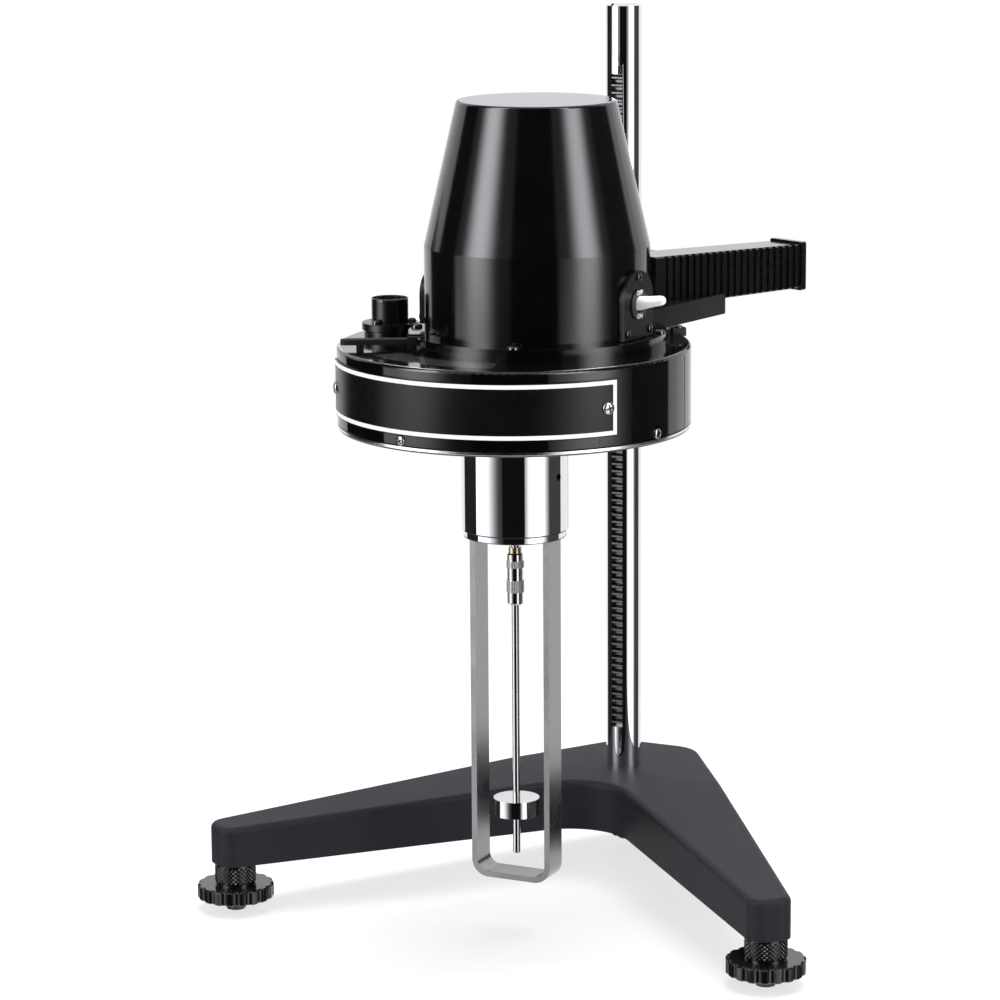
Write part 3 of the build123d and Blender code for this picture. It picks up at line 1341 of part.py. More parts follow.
lower_bearing_height = 4.0
with BuildPart() as lower_bearing:
    with BuildSketch(Plane.XY.offset(spigot_top_z)):
        Circle(sleeve_bore - drop_gap)
        Circle(pivot_radius + run_gap, mode=Mode.SUBTRACT)
        with PolarLocations(11.0, 3, 30):
            Circle(5.0, mode=Mode.SUBTRACT)
    extrude(amount=lower_bearing_height)
save(lower_bearing.part, "lower_bearing")

# ---------------------------------------------------------------- level
level_spot = (level_x, level_y)
level_flange_top = level_flange_low_z + level_flange_thickness
vial_low_z = 249.0
vial_top_z = 255.6
with BuildPart() as level_housing:
    with BuildSketch(Plane.XY.offset(level_flange_low_z)):
        with Locations(level_spot):
            Circle(level_flange_radius)
    extrude(amount=level_flange_thickness)
    with BuildSketch(Plane.XY.offset(level_flange_top)):
        with Locations(level_spot):
            Circle(level_radius)
    extrude(amount=level_high_z - level_flange_top)
    with Locations((*level_spot, vial_low_z)):
        Cylinder(level_bore, 20, mode=Mode.SUBTRACT, align=(Align.CENTER, Align.CENTER, Align.MIN))
    with Locations(*[(x, y, level_flange_low_z) for x, y in level_screw_points]):
        Cylinder(1.0 + drop_gap, 3 * level_flange_thickness, mode=Mode.SUBTRACT)
save(level_housing.part, "level_housing")

with BuildPart() as level_vial:
    with Locations((*level_spot, vial_low_z)):
        Cylinder(level_bore, vial_top_z - vial_low_z, align=(Align.CENTER, Align.CENTER, Align.MIN))
save(level_vial.part, "level_vial")

with BuildPart() as level_screws:
    with Locations(*[(x, y, level_flange_top) for x, y in level_screw_points]):
        add(screw(1.55, 1.7, 1.0, level_flange_top - drum_high_z + drum_roof))
with BuildPart() as level_nuts:
    with BuildSketch(Plane.XY.offset(drum_high_z)):
        with Locations(*level_screw_points):
            RegularPolygon(2.0, 6)
            Circle(1.0 + drop_gap, mode=Mode.SUBTRACT)
    extrude(amount=level_flange_low_z - drum_high_z)
save(Compound(children=[level_screws.part, level_nuts.part]), "level_screws")

# ---------------------------------------------------------------- pointer lever
with BuildPart() as pointer_lever:
    with BuildSketch(lever_plane.offset(lever_low_z)):
        with Locations((-lever_tail, 0)):
            Rectangle(lever_length + lever_tail, lever_width, align=(Align.MIN, Align.CENTER))
        with Locations((lever_length, 0)):
            Circle(lever_width / 2)
    extrude(amount=lever_thickness)
    fillet(pointer_lever.edges().filter_by(Plane.XY).group_by(Axis.Z)[-1], 0.5)
    with Locations(lever_pin_plane):
        Cylinder(lever_pin_radius + run_gap, 2 * lever_width, mode=Mode.SUBTRACT)
save(pointer_lever.part, "pointer_lever")

with BuildPart() as lever_bracket:
    with BuildSketch(lever_plane.offset(drum_high_z)):
        Rectangle(cheek_length, 2 * bracket_half)
    extrude(amount=0.6)
    with BuildSketch(lever_plane.offset(drum_high_z)):
        for s in (-1, 1):
            with Locations((0, s * (cheek_offset + cheek_thickness / 2))):
                Rectangle(cheek_length, cheek_thickness)
    extrude(amount=lever_low_z + lever_thickness + 1.0 - drum_high_z)
    with Locations(lever_pin_plane):
        Cylinder(lever_pin_radius, 4 * lever_width, mode=Mode.SUBTRACT)
with BuildPart() as lever_pin:
    with Locations(lever_pin_plane):
        Cylinder(lever_pin_radius, 2 * bracket_half)
save(Compound(children=[lever_bracket.part, lever_pin.part]), "lever_bracket")

shoe_low_z = 229.0
shoe_radius = 2.5
with BuildPart() as plunger:
    with BuildSketch(Plane.XY.offset(shoe_low_z)):
        with Locations(plunger_spot):
            Circle(shoe_radius)
    extrude(amount=1.8)
    with BuildSketch(Plane.XY.offset(shoe_low_z)):
        with Locations(plunger_spot):
            Circle(plunger_radius)
    extrude(amount=lever_low_z - 0.1 - shoe_low_z)
save(plunger.part, "plunger")
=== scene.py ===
"""How the rotational viscometer looks: finishes, small fittings, studio and camera.

Everything is in metres, in the model's own frame: +Z up, +Y to the rear.
"""
import json
from math import cos, degrees, hypot, pi, radians, sin, sqrt

import bmesh
import bpy
from mathutils import Matrix, Vector


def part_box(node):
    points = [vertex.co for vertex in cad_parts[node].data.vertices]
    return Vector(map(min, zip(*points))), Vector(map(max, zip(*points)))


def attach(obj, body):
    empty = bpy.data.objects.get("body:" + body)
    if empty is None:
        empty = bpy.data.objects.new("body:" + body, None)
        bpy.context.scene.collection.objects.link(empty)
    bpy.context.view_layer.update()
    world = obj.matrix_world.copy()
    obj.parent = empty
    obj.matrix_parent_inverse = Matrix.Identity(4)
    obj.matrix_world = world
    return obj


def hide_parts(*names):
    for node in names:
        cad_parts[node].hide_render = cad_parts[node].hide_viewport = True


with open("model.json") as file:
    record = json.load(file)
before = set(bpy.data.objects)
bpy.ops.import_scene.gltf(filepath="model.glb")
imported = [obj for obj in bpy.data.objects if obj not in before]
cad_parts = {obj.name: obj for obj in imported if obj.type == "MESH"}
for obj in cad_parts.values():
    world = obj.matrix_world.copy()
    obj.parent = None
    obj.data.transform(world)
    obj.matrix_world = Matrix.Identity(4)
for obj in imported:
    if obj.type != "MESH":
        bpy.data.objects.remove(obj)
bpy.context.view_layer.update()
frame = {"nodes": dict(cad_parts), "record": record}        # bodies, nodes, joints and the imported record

MM = 0.001

# ---------------------------------------------------------------- sizes read from the frame
drum_low, drum_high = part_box("drum_shell")
plate_low, plate_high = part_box("nameplate")
dial_low, dial_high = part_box("dial")
level_low, level_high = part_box("level_housing")
vial_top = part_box("level_vial")[1].z
sleeve_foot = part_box("sleeve")[0].z
ring_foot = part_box("guard_ring")[0].z
drum_radius = (drum_high.x - drum_low.x) / 2
plate_radius = -plate_low.y
dial_radius = (dial_high.x - dial_low.x) / 2
level_centre = (level_low + level_high) / 2


# ---------------------------------------------------------------- materials
def node(tree, kind, **values):
    """A shader node with its input sockets and properties set."""
    made = tree.nodes.new(kind)
    for key, value in values.items():
        if key in made.inputs:
            made.inputs[key].default_value = value
        else:
            setattr(made, key, value)
    return made


def finish(name, color, other=None, metallic=0.0, roughness=(0.3, 0.4), patch=0.02, grain=0.0004,
           bump=0.05, bump_depth=0.0001, coat=0.0, coat_roughness=0.05, specular=0.5, streak=None,
           edge=0.0):
    """A procedural finish.

    The colour wanders between two near tones in patches of a given size, and the roughness
    between two values; a fine grain lifts the surface, stretched along one axis by streak.
    edge is the radius that the light sees on sharp edges.
    """
    material = bpy.data.materials.new(name)
    material.use_nodes = True
    tree = material.node_tree
    shader = tree.nodes["Principled BSDF"]
    shader.inputs["Metallic"].default_value = metallic
    shader.inputs["Specular IOR Level"].default_value = specular
    shader.inputs["Coat Weight"].default_value = coat
    shader.inputs["Coat Roughness"].default_value = coat_roughness
    place = node(tree, "ShaderNodeTexCoord")
    mapping = node(tree, "ShaderNodeMapping")
    if streak:
        mapping.inputs["Scale"].default_value = streak
    tree.links.new(place.outputs["Object"], mapping.inputs["Vector"])
    patches = node(tree, "ShaderNodeTexNoise", Scale=1 / patch, Detail=4.0, Roughness=0.55)
    tree.links.new(place.outputs["Object"], patches.inputs["Vector"])
    tones = node(tree, "ShaderNodeValToRGB")
    tones.color_ramp.elements[0].position = 0.35
    tones.color_ramp.elements[1].position = 0.65
    tones.color_ramp.elements[0].color = (*color, 1)
    tones.color_ramp.elements[1].color = (*(other or [c * 1.15 for c in color]), 1)
    tree.links.new(patches.outputs["Fac"], tones.inputs["Fac"])
    tree.links.new(tones.outputs["Color"], shader.inputs["Base Color"])
    grains = node(tree, "ShaderNodeTexNoise", Scale=1 / grain, Detail=3.0, Roughness=0.6)
    tree.links.new(mapping.outputs["Vector"], grains.inputs["Vector"])
    rough = node(tree, "ShaderNodeMapRange")
    rough.inputs["From Min"].default_value = 0.3
    rough.inputs["From Max"].default_value = 0.7
    rough.inputs["To Min"].default_value = roughness[0]
    rough.inputs["To Max"].default_value = roughness[1]
    tree.links.new(patches.outputs["Fac"], rough.inputs["Value"])
    tree.links.new(rough.outputs["Result"], shader.inputs["Roughness"])
    lift = node(tree, "ShaderNodeBump", Strength=bump, Distance=bump_depth)
    tree.links.new(grains.outputs["Fac"], lift.inputs["Height"])
    if edge:
        bevel = node(tree, "ShaderNodeBevel", samples=4, Radius=edge)
        tree.links.new(bevel.outputs["Normal"], lift.inputs["Normal"])
    tree.links.new(lift.outputs["Normal"], shader.inputs["Normal"])
    return material


def clear(name, color, roughness, transmission, ior=1.5):
    """A clear finish with faint smudges in its gloss."""
    material = finish(name, color, roughness=(roughness, roughness * 1.6), bump=0.01)
    shader = material.node_tree.nodes["Principled BSDF"]
    shader.inputs["Transmission Weight"].default_value = transmission
    shader.inputs["IOR"].default_value = ior
    return material


slots = {
    "base_paint": finish("base_paint", (0.0126, 0.0121, 0.0164), (0.0165, 0.0158, 0.0212),
                         roughness=(0.50, 0.58), patch=0.03, grain=0.0007, bump=0.3,
                         bump_depth=0.00015, specular=0.12),
    "black_enamel": finish("black_enamel", (0.004, 0.004, 0.0045), roughness=(0.20, 0.28),
                           grain=0.0006, bump=0.06, specular=0.4),
    "drum_gloss": finish("drum_gloss", (0.0015, 0.0015, 0.0016), (0.002, 0.002, 0.0021),
                         roughness=(0.06, 0.09), grain=0.0012, bump=0.01, specular=0.5),
    "cover_paint": finish("cover_paint", (0.0018, 0.0018, 0.0019), (0.0026, 0.0026, 0.0028),
                          roughness=(0.10, 0.13), grain=0.0007, bump=0.14),
    "chrome": finish("chrome", (0.78, 0.78, 0.79), (0.82, 0.82, 0.83), metallic=1.0,
                     roughness=(0.02, 0.04), grain=0.003, bump=0.003),
    "steel": finish("steel", (0.50, 0.50, 0.51), (0.56, 0.56, 0.57), metallic=1.0,
                    roughness=(0.22, 0.30), grain=0.0002, bump=0.05, streak=(1, 1, 8)),
    "screw_steel": finish("screw_steel", (0.35, 0.35, 0.36), (0.45, 0.45, 0.46), metallic=1.0,
                          roughness=(0.18, 0.28), patch=0.004, bump=0.04),
    "brass": finish("brass", (0.50, 0.42, 0.24), (0.56, 0.48, 0.30), metallic=1.0,
                    roughness=(0.20, 0.30), bump=0.04),
    "aluminium": finish("aluminium", (0.70, 0.71, 0.72), metallic=1.0, roughness=(0.3, 0.4),
                        bump=0.06, streak=(1, 12, 1)),
    "knob_plastic": finish("knob_plastic", (0.003, 0.003, 0.0034), roughness=(0.12, 0.18),
                           grain=0.0006, bump=0.05, edge=0.0003),
    "black_plastic": finish("black_plastic", (0.007, 0.007, 0.0075), roughness=(0.34, 0.42),
                            bump=0.08, edge=0.0002),
    "grip_plastic": finish("grip_plastic", (0.004, 0.004, 0.0045), roughness=(0.10, 0.16),
                           grain=0.0005, bump=0.04, specular=0.9),
    "plate_black": finish("plate_black", (0.002, 0.002, 0.0022), (0.003, 0.003, 0.0032),
                          roughness=(0.24, 0.30), grain=0.0008, bump=0.03, specular=0.2),
    "white_plastic": finish("white_plastic", (0.82, 0.82, 0.80), (0.86, 0.86, 0.84),
                            roughness=(0.25, 0.32), bump=0.02),
    "dial_white": finish("dial_white", (0.80, 0.80, 0.76), (0.84, 0.84, 0.80),
                         roughness=(0.45, 0.55), bump=0.03),
    "glass": clear("glass", (0.40, 0.40, 0.41), 0.03, 0.95),
    "vial_glass": clear("vial_glass", (0.35, 0.55, 0.08), 0.02, 0.85),
}
white_ink = finish("white_ink", (0.82, 0.82, 0.82), (0.88, 0.88, 0.88), roughness=(0.4, 0.5),
                   bump=0.03)
black_ink = finish("black_ink", (0.01, 0.01, 0.01), roughness=(0.5, 0.6), bump=0.03)
# steel darkened as painted shade: the column's rack in its shaded slot, and thin edges under the drum's
# rim and at the guard ring's foot
steel_painted_shade = finish("steel_painted_shade", (0.10, 0.10, 0.10), (0.14, 0.14, 0.145), metallic=1.0,
                    roughness=(0.34, 0.42), patch=0.006, bump=0.05)
# bright steel of the drum's rim, and also painted highlight in the drum's top line and the level's rim
bright_steel_and_highlight = finish("bright_steel_and_highlight", (0.72, 0.72, 0.73), (0.78, 0.78, 0.79), metallic=1.0,
                      roughness=(0.16, 0.24), patch=0.004, bump=0.03)
black_screw = finish("black_screw", (0.006, 0.006, 0.0065), roughness=(0.10, 0.16), patch=0.004,
                     bump=0.03, specular=0.9)
dull_black = finish("dull_black", (0.006, 0.006, 0.0065), (0.009, 0.009, 0.0095),
                    roughness=(0.55, 0.65), bump=0.08, specular=0.15)
# painted shade: a near-black put in screw recesses, drum seams and the sleeve's joint, where shade falls
painted_shade_black = finish("painted_shade_black", (0.004, 0.004, 0.004), roughness=(0.5, 0.6), bump=0.03)
guard_satin = finish("guard_satin", (0.29, 0.29, 0.288), (0.33, 0.33, 0.325), metallic=1.0,
                     roughness=(0.24, 0.32), patch=0.015, grain=0.0002, bump=0.03,
                     streak=(1, 1, 0.05))
shaft_steel = finish("shaft_steel", (0.58, 0.57, 0.56), metallic=1.0, roughness=(0.08, 0.14),
                     bump=0.02)
bubble_clear = clear("bubble_clear", (0.72, 0.85, 0.40), 0.02, 0.6)

node_slots = {s["node"]: s["material_slot"] for s in frame["record"]["subparts"]}
# the column's rack takes steel darkened as painted shade
other_finishes = {"rotor_guard": guard_satin, "rotor": shaft_steel, "coupling": shaft_steel,
                  "column_rack": steel_painted_shade, "pointer_lever": dull_black,
                  "lever_bracket": dull_black, "plunger": dull_black}
for name, cad in frame["nodes"].items():
    cad.data.materials.clear()
    cad.data.materials.append(other_finishes.get(name, slots[node_slots[name]]))


# ---------------------------------------------------------------- mesh helpers
# A form is a list of points and a list of faces.
def new_object(name, form, smooth=None):
    """An object of a form, with its faces turned outward."""
    mesh = bpy.data.meshes.new(name)
    mesh.from_pydata([tuple(v) for v in form[0]], [], form[1])
    mesh.validate()
    work = bmesh.new()
    work.from_mesh(mesh)
    bmesh.ops.recalc_face_normals(work, faces=work.faces)
    work.to_mesh(mesh)
    work.free()
    if smooth:
        for polygon in mesh.polygons:
            polygon.use_smooth = True
        mesh.set_sharp_from_angle(angle=smooth)
    made = bpy.data.objects.new(name, mesh)
    bpy.context.scene.collection.objects.link(made)
    return made


def piece(name, form, material, body="head", smooth=radians(35)):
    """A mesh piece that rides on a body."""
    made = new_object(name, form, smooth)
    made.data.materials.append(material)
    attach(made, body)
    return made


def read_form(thing):
    """The form of an object with its modifiers applied; the object then goes."""
    depsgraph = bpy.context.evaluated_depsgraph_get()
    mesh = bpy.data.meshes.new_from_object(thing.evaluated_get(depsgraph))
    form = [v.co.copy() for v in mesh.vertices], [tuple(p.vertices) for p in mesh.polygons]
    bpy.data.objects.remove(thing)
    bpy.data.meshes.remove(mesh)
    return form


def joined(forms):
    """Several forms as one."""
    verts, faces = [], []
    for more_verts, more_faces in forms:
        first = len(verts)
        verts += more_verts
        faces += [tuple(first + i for i in face) for face in more_faces]
    return verts, faces


def placed(form, places, unit=1.0):
    """One form set down at each of several places; unit is what its numbers are written in."""
    return joined([([place @ (v * unit) for v in form[0]], form[1]) for place in places])


def seat(origin, out, up=(0, 0, 1)):
    """A placing matrix whose Z points out of a surface and whose Y points up along it."""
    z = Vector(out).normalized()
    x = Vector(up).cross(z).normalized()
    turned = Matrix((x, z.cross(x), z)).transposed().to_4x4()
    return Matrix.Translation(Vector(origin)) @ turned


def facing(angle, distance, height, centre=(0.0, 0.0)):
    """A seat that faces out at an angle from the front, in degrees, about an upright line."""
    a = radians(angle)
    out = Vector((sin(a), -cos(a), 0))
    return seat(Vector((centre[0], centre[1], height)) + out * distance, out)


def on_top(x, y, z, up=(0, 1, 0)):
    """A seat on a level face."""
    return seat((x, y, z), (0, 0, 1), up)


def moved(place, x=0.0, y=0.0, z=0.0):
    """A seat shifted along its own axes."""
    return place @ Matrix.Translation((x, y, z))


def prism(outline, low, high):
    """The form of an outline raised from one height to another."""
    n = len(outline)
    verts = [Vector((x, y, low)) for x, y in outline] + [Vector((x, y, high)) for x, y in outline]
    faces = [tuple(reversed(range(n))), tuple(range(n, 2 * n))]
    faces += [(k, (k + 1) % n, n + (k + 1) % n, n + k) for k in range(n)]
    return verts, faces


def turned_form(profile, steps=40):
    """The form of a profile of radius and height turned about Z; ends on the axis close."""
    verts, rings = [], []
    for r, z in profile:
        if r == 0:
            rings.append([len(verts)])
            verts.append(Vector((0, 0, z)))
            continue
        rings.append(list(range(len(verts), len(verts) + steps)))
        for k in range(steps):
            a = 2 * pi * k / steps
            verts.append(Vector((r * cos(a), r * sin(a), z)))
    faces = []
    closed = profile[0][0] != 0
    for one, two in zip(rings, rings[1:] + rings[:1] if closed else rings[1:]):
        for k in range(steps):
            n = (k + 1) % steps
            corners = [one[k % len(one)], one[n % len(one)], two[n % len(two)], two[k % len(two)]]
            faces.append(tuple(dict.fromkeys(corners)))
    return verts, faces


def lathe(name, profile, material, body="head", places=(Matrix(),), steps=40, unit=1.0):
    """A turned piece, about the rotor axis unless places say otherwise."""
    form = placed(turned_form(profile, steps), places, unit)
    return piece(name, form, material, body)


def arc_band(name, radius, thickness, z_low, z_high, start, stop, material, steps=64):
    """A strip on the drum about the rotor axis, between two angles from the front, in degrees."""
    corners = ((radius, z_low), (radius, z_high), (radius + thickness, z_high),
               (radius + thickness, z_low))
    verts, faces = [], []
    for k in range(steps + 1):
        a = radians(start + (stop - start) * k / steps)
        verts += [(r * sin(a), -r * cos(a), z) for r, z in corners]
    for k in range(steps):
        for j in range(4):
            a, b = 4 * k + j, 4 * k + (j + 1) % 4
            faces.append((a, b, b + 4, a + 4))
    faces += [(3, 2, 1, 0), tuple(4 * steps + j for j in range(4))]
    return piece(name, (verts, faces), material)


def screw_form(radius, height):
    """A domed screw head on its seat, with a cross recess, and which of its faces lie in it, to take
    painted shade.
    """
    dome = [(0, 0), (radius, 0), (radius, 0.35 * height), (0.94 * radius, 0.62 * height),
            (0.78 * radius, 0.84 * height), (0.5 * radius, 0.96 * height), (0, height)]
    long, short = 0.66 * radius, 0.15 * radius
    cross = [(long, -short), (long, short), (short, short), (short, long), (-short, long),
             (-short, short), (-long, short), (-long, -short), (-short, -short),
             (-short, -long), (short, -long), (short, -short)]
    recess_floor = 0.4 * height
    head = new_object("head", turned_form(dome, 28))
    cutter = new_object("cutter", prism(cross, recess_floor, 1.5 * height))
    cut = head.modifiers.new("cut", "BOOLEAN")
    cut.operation = "DIFFERENCE"
    cut.solver = "EXACT"
    cut.object = cutter
    verts, faces = read_form(head)
    bpy.data.objects.remove(cutter)
    reach = hypot(long, short) * 1.01
    shaded_faces = [all(hypot(verts[i].x, verts[i].y) < reach for i in face)
            and min(verts[i].z for i in face) < recess_floor + 0.05 * height for face in faces]
    return (verts, faces), shaded_faces


def screws(name, places, head_size, material, nodes=()):
    """Screw heads, of a radius and height in millimetres, that may stand for plain ones."""
    form, shaded_faces = screw_form(*head_size)
    twisted = [place @ Matrix.Rotation(0.5 + 1.3 * k, 4, "Z") for k, place in enumerate(places)]
    made = piece(name, placed(form, twisted, MM), material)
    # the faces in each cross recess get painted shade, a near-black in place of the screw's metal
    made.data.materials.append(painted_shade_black)
    for polygon, is_shaded in zip(made.data.polygons, shaded_faces * len(places)):
        polygon.material_index = int(is_shaded)
    if nodes:
        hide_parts(*nodes)
    return made


def lettering(name, signs, height, depth, material, body="head", bold=0.0):
    """Short signs, each a text and its seat, raised a little from the surface under them."""
    forms = []
    for text, place in signs:
        line = bpy.data.curves.new(name, "FONT")
        line.body = text
        line.size = height * 1.35         # of the font, for capitals of that height
        line.align_x = "CENTER"
        line.align_y = "CENTER"
        line.extrude = depth / 2
        line.offset = height * bold
        line.resolution_u = 3
        made = bpy.data.objects.new(name, line)
        bpy.context.scene.collection.objects.link(made)
        forms.append(placed(read_form(made), [moved(place, z=depth / 2)]))
    return piece(name, joined(forms), material, body)


# ---------------------------------------------------------------- nameplate
field_low = 215.4 * MM
field_high = plate_high.z
field_half = 59.2                 # degrees, from the front to each end
line_width = 1.6 * MM
line_proud = 0.12 * MM            # of the white line, above the field
line_inset = 0.5 * MM             # of the line, from the edges of the field
field_radius = plate_radius - line_proud
outer_angle = field_half - degrees(line_inset / plate_radius)
inner_angle = outer_angle - degrees(line_width / plate_radius)
line_low = field_low + line_inset
line_high = field_high - line_inset

field = arc_band("plate_field", drum_radius, field_radius - drum_radius, field_low, field_high,
                 -field_half, field_half, slots["plate_black"], steps=96)
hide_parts("nameplate")
for label, low, high, start, stop, steps in (
        ("top", line_high - line_width, line_high, -outer_angle, outer_angle, 96),
        ("bottom", line_low, line_low + line_width, -outer_angle, outer_angle, 96),
        ("left", line_low, line_high, -outer_angle, -inner_angle, 4),
        ("right", line_low, line_high, inner_angle, outer_angle, 4)):
    arc_band(f"plate_line_{label}", field_radius, line_proud, low, high, start, stop, white_ink,
             steps)

# ---------------------------------------------------------------- drum: rim, seams in painted shade, and a top line of painted highlight
drum_steps = 160                  # round the drum
rim_low = 209.5 * MM
rim_inner = drum_radius - 3.0 * MM
rim_chamfer = 0.4 * MM
lip_low = rim_low - 0.35 * MM     # of the edge under the rim, a ring of painted shade
lip_inner = drum_radius - 2.6 * MM
lip_corner = drum_radius - 0.5 * MM
lip_outer = drum_radius - 0.2 * MM
lathe("drum_rim", [(rim_inner, drum_low.z), (rim_inner, rim_low),
                   (drum_radius - rim_chamfer, rim_low), (drum_radius, rim_low + rim_chamfer),
                   (drum_radius, drum_low.z)], bright_steel_and_highlight, steps=drum_steps)
# painted shade: a near-black ring under the bright rim
lathe("drum_rim_shade_edge", [(lip_inner, rim_low), (lip_inner, lip_low), (lip_corner, lip_low),
                        (lip_outer, rim_low)], steel_painted_shade, steps=drum_steps)

seam_half = 0.14                  # degrees, half the width of a seam
seam_proud = 0.05 * MM
seam_end = drum_high.z - 1.6 * MM
# each seam is a thin matte strip of painted shade, standing for the shade in its groove
for label, angle, high in (("lower", 53.0, field_low), ("rear", 97.0, seam_end)):
    arc_band(f"drum_seam_shade_{label}", drum_radius, seam_proud, drum_low.z, high, angle - seam_half,
             angle + seam_half, painted_shade_black, steps=2)

# painted highlight: a thin bright steel ring on the drum's top, standing for the edge's highlight
highlight_line_inner = drum_radius - 1.25 * MM
highlight_line_outer = drum_radius - 0.85 * MM
highlight_line_low = drum_high.z - 0.02 * MM
highlight_line_high = drum_high.z + 0.04 * MM
lathe("drum_top_highlight_line", [(highlight_line_inner, highlight_line_low), (highlight_line_outer, highlight_line_low),
                        (highlight_line_outer, highlight_line_high), (highlight_line_inner, highlight_line_high)],
      bright_steel_and_highlight, steps=drum_steps)

# ---------------------------------------------------------------- sleeve and guard ring: edges in painted shade
sleeve_steps = 96
ring_radius = 20.5 * MM
joint_inner = ring_radius - 0.2 * MM
joint_outer = ring_radius + 0.45 * MM
edge_inner = ring_radius - 0.3 * MM
edge_outer = ring_radius + 0.05 * MM
# painted shade: a near-black ring where the sleeve meets the guard ring
lathe("sleeve_joint_shade", [(joint_inner, sleeve_foot - 0.7 * MM), (joint_outer, sleeve_foot - 0.6 * MM),
                       (joint_outer, sleeve_foot), (joint_inner, sleeve_foot)],
      painted_shade_black, steps=sleeve_steps)
# painted shade: the guard ring's foot edge in darkened steel instead of chrome
lathe("ring_foot_shade_edge", [(edge_inner, ring_foot + 0.45 * MM), (edge_outer, ring_foot + 0.35 * MM),
                    (edge_outer, ring_foot), (edge_inner, ring_foot)],
      steel_painted_shade, steps=sleeve_steps)

# ---------------------------------------------------------------- screws
field_head = (2.5, 1.2)           # radius and height of each kind of head, in millimetres
drum_head = (2.0, 1.0)
cover_head = (2.3, 1.4)
plate_head = (1.5, 0.9)
level_head = (1.55, 1.7)
clip_head = (1.7, 1.0)

field_screw_angle = 55.7          # to each side of the front
field_screw_height = 226.4 * MM
drum_screw_angle = -13.0          # of the first of four
drum_screw_height = 213.2 * MM
screws("plate_screw_heads",
       [facing(side * field_screw_angle, field_radius, field_screw_height) for side in (-1, 1)],
       field_head, slots["screw_steel"])
screws("drum_screw_heads",
       [facing(drum_screw_angle + 90 * k, drum_radius, drum_screw_height) for k in range(4)],
       drum_head, slots["screw_steel"], nodes=["drum_screws"])

cover_centre = (7.5 * MM, 6.1 * MM)       # axis of the motor cover
flange_top = 246.8 * MM
flange_screw_circle = 49.0 * MM   # radius
flange_screw_angle = 14.0         # of the first of four
flange_screws = []
for k in range(4):
    a = radians(flange_screw_angle + 90 * k)
    flange_screws.append(on_top(cover_centre[0] + flange_screw_circle * sin(a),
                                cover_centre[1] - flange_screw_circle * cos(a), flange_top))
screws("cover_screw_heads", flange_screws, cover_head, black_screw,
       nodes=["cover_screws"])

cover_radius = 44.7 * MM          # of the cover's lower part
pad_half = 11.0 * MM              # half the width of the pads that carry the plates
pad_proud = 1.6 * MM
plate_thickness = 1.6 * MM
plate_screw_inset = 2.6 * MM      # from the edges of a plate
pad_distance = sqrt(cover_radius ** 2 - pad_half ** 2) + pad_proud
plate_seats, plate_screws = {}, []
for label, angle, foot, width, height in (("switch", 83.0, 247.2 * MM, 22.0 * MM, 26.5 * MM),
                                          ("inlet", -83.0, 248.6 * MM, 17.0 * MM, 19.5 * MM)):
    plate = facing(angle, pad_distance + plate_thickness, foot, cover_centre)
    side = width / 2 - plate_screw_inset
    plate_seats[label] = plate
    plate_screws += [moved(plate, -side, plate_screw_inset), moved(plate, side, plate_screw_inset),
                     moved(plate, 0, height - plate_screw_inset)]
screws("small_screw_heads", plate_screws, plate_head, black_screw,
       nodes=["plate_screws"])

level_screw_circle = 9.0 * MM     # radius
level_flange_top = 247.2 * MM
level_screws = [on_top(level_centre.x + level_screw_circle * cos(radians(a)),
                       level_centre.y + level_screw_circle * sin(radians(a)), level_flange_top)
                for a in (20, 140, 260)]
screws("level_screw_heads", level_screws, level_head, black_screw,
       nodes=["level_screws"])

# ---------------------------------------------------------------- spirit level
level_steps = 56
level_foot_radius = 10.4 * MM
level_foot_chamfer = 0.4 * MM
rim_profile = [(5.3, -0.1), (5.3, 0), (6.9, 0), (7.4, -0.4), (7.4, -0.7), (6.0, -0.7)]
mark_profile = [(2.3, -0.02), (2.3, 0.06), (2.65, 0.06), (2.65, -0.02)]
bubble_profile = [(0, -0.02), (1.5, 0), (1.3, 0.15), (0.8, 0.26), (0, 0.3)]
bubble_shift = Vector((0.3, 0.4, 0)) * MM
level_axis = on_top(level_centre.x, level_centre.y, 0)
rim_place = moved(level_axis, z=level_high.z)
mark_place = moved(level_axis, z=vial_top)
lathe("level_foot", [(0, drum_high.z), (level_foot_radius, drum_high.z),
                     (level_foot_radius, level_low.z - level_foot_chamfer),
                     (level_foot_radius - level_foot_chamfer, level_low.z), (0, level_low.z)],
      slots["black_enamel"], places=[level_axis], steps=level_steps)
# a bright ring on the level's top: a plated rim that also serves as painted highlight
lathe("level_rim_highlight", rim_profile, bright_steel_and_highlight, places=[rim_place],
      steps=level_steps, unit=MM)
lathe("level_mark", mark_profile, black_ink, places=[mark_place], unit=MM)
lathe("level_bubble", bubble_profile, bubble_clear,
      places=[moved(mark_place, *bubble_shift)], steps=32, unit=MM)

# ---------------------------------------------------------------- dial scale
dial_top = 234.2 * MM
divisions = 100
scale_zero = -10.0                # degrees from the front, under the pointer at rest
tick_inset = 0.4 * MM             # from the edge of the dial
tick_height = 0.05                # in millimetres, as the ticks' other sizes
ticks = {10: (3.6, 0.16), 5: (2.8, 0.11), 1: (2.0, 0.11)}     # length and half width, by division
number_inset = 5.9 * MM
number_size = 2.4 * MM
number_depth = 0.06 * MM


def dial_seat(division, inset, up=1):
    """A seat on the dial at a division of its scale, some way in from its edge."""
    a = radians(scale_zero + 360 / divisions * division)
    out = Vector((sin(a), -cos(a), 0))
    return on_top(*(out * (dial_radius - inset)).xy, dial_top, up=out * up)


def tick(division):
    """One tick of the scale, from the dial's edge inward."""
    length, half = next(size for step, size in ticks.items() if division % step == 0)
    form = prism([(-half, -length), (half, -length), (half, 0), (-half, 0)], 0, tick_height)
    return placed(form, [dial_seat(division, tick_inset)], MM)


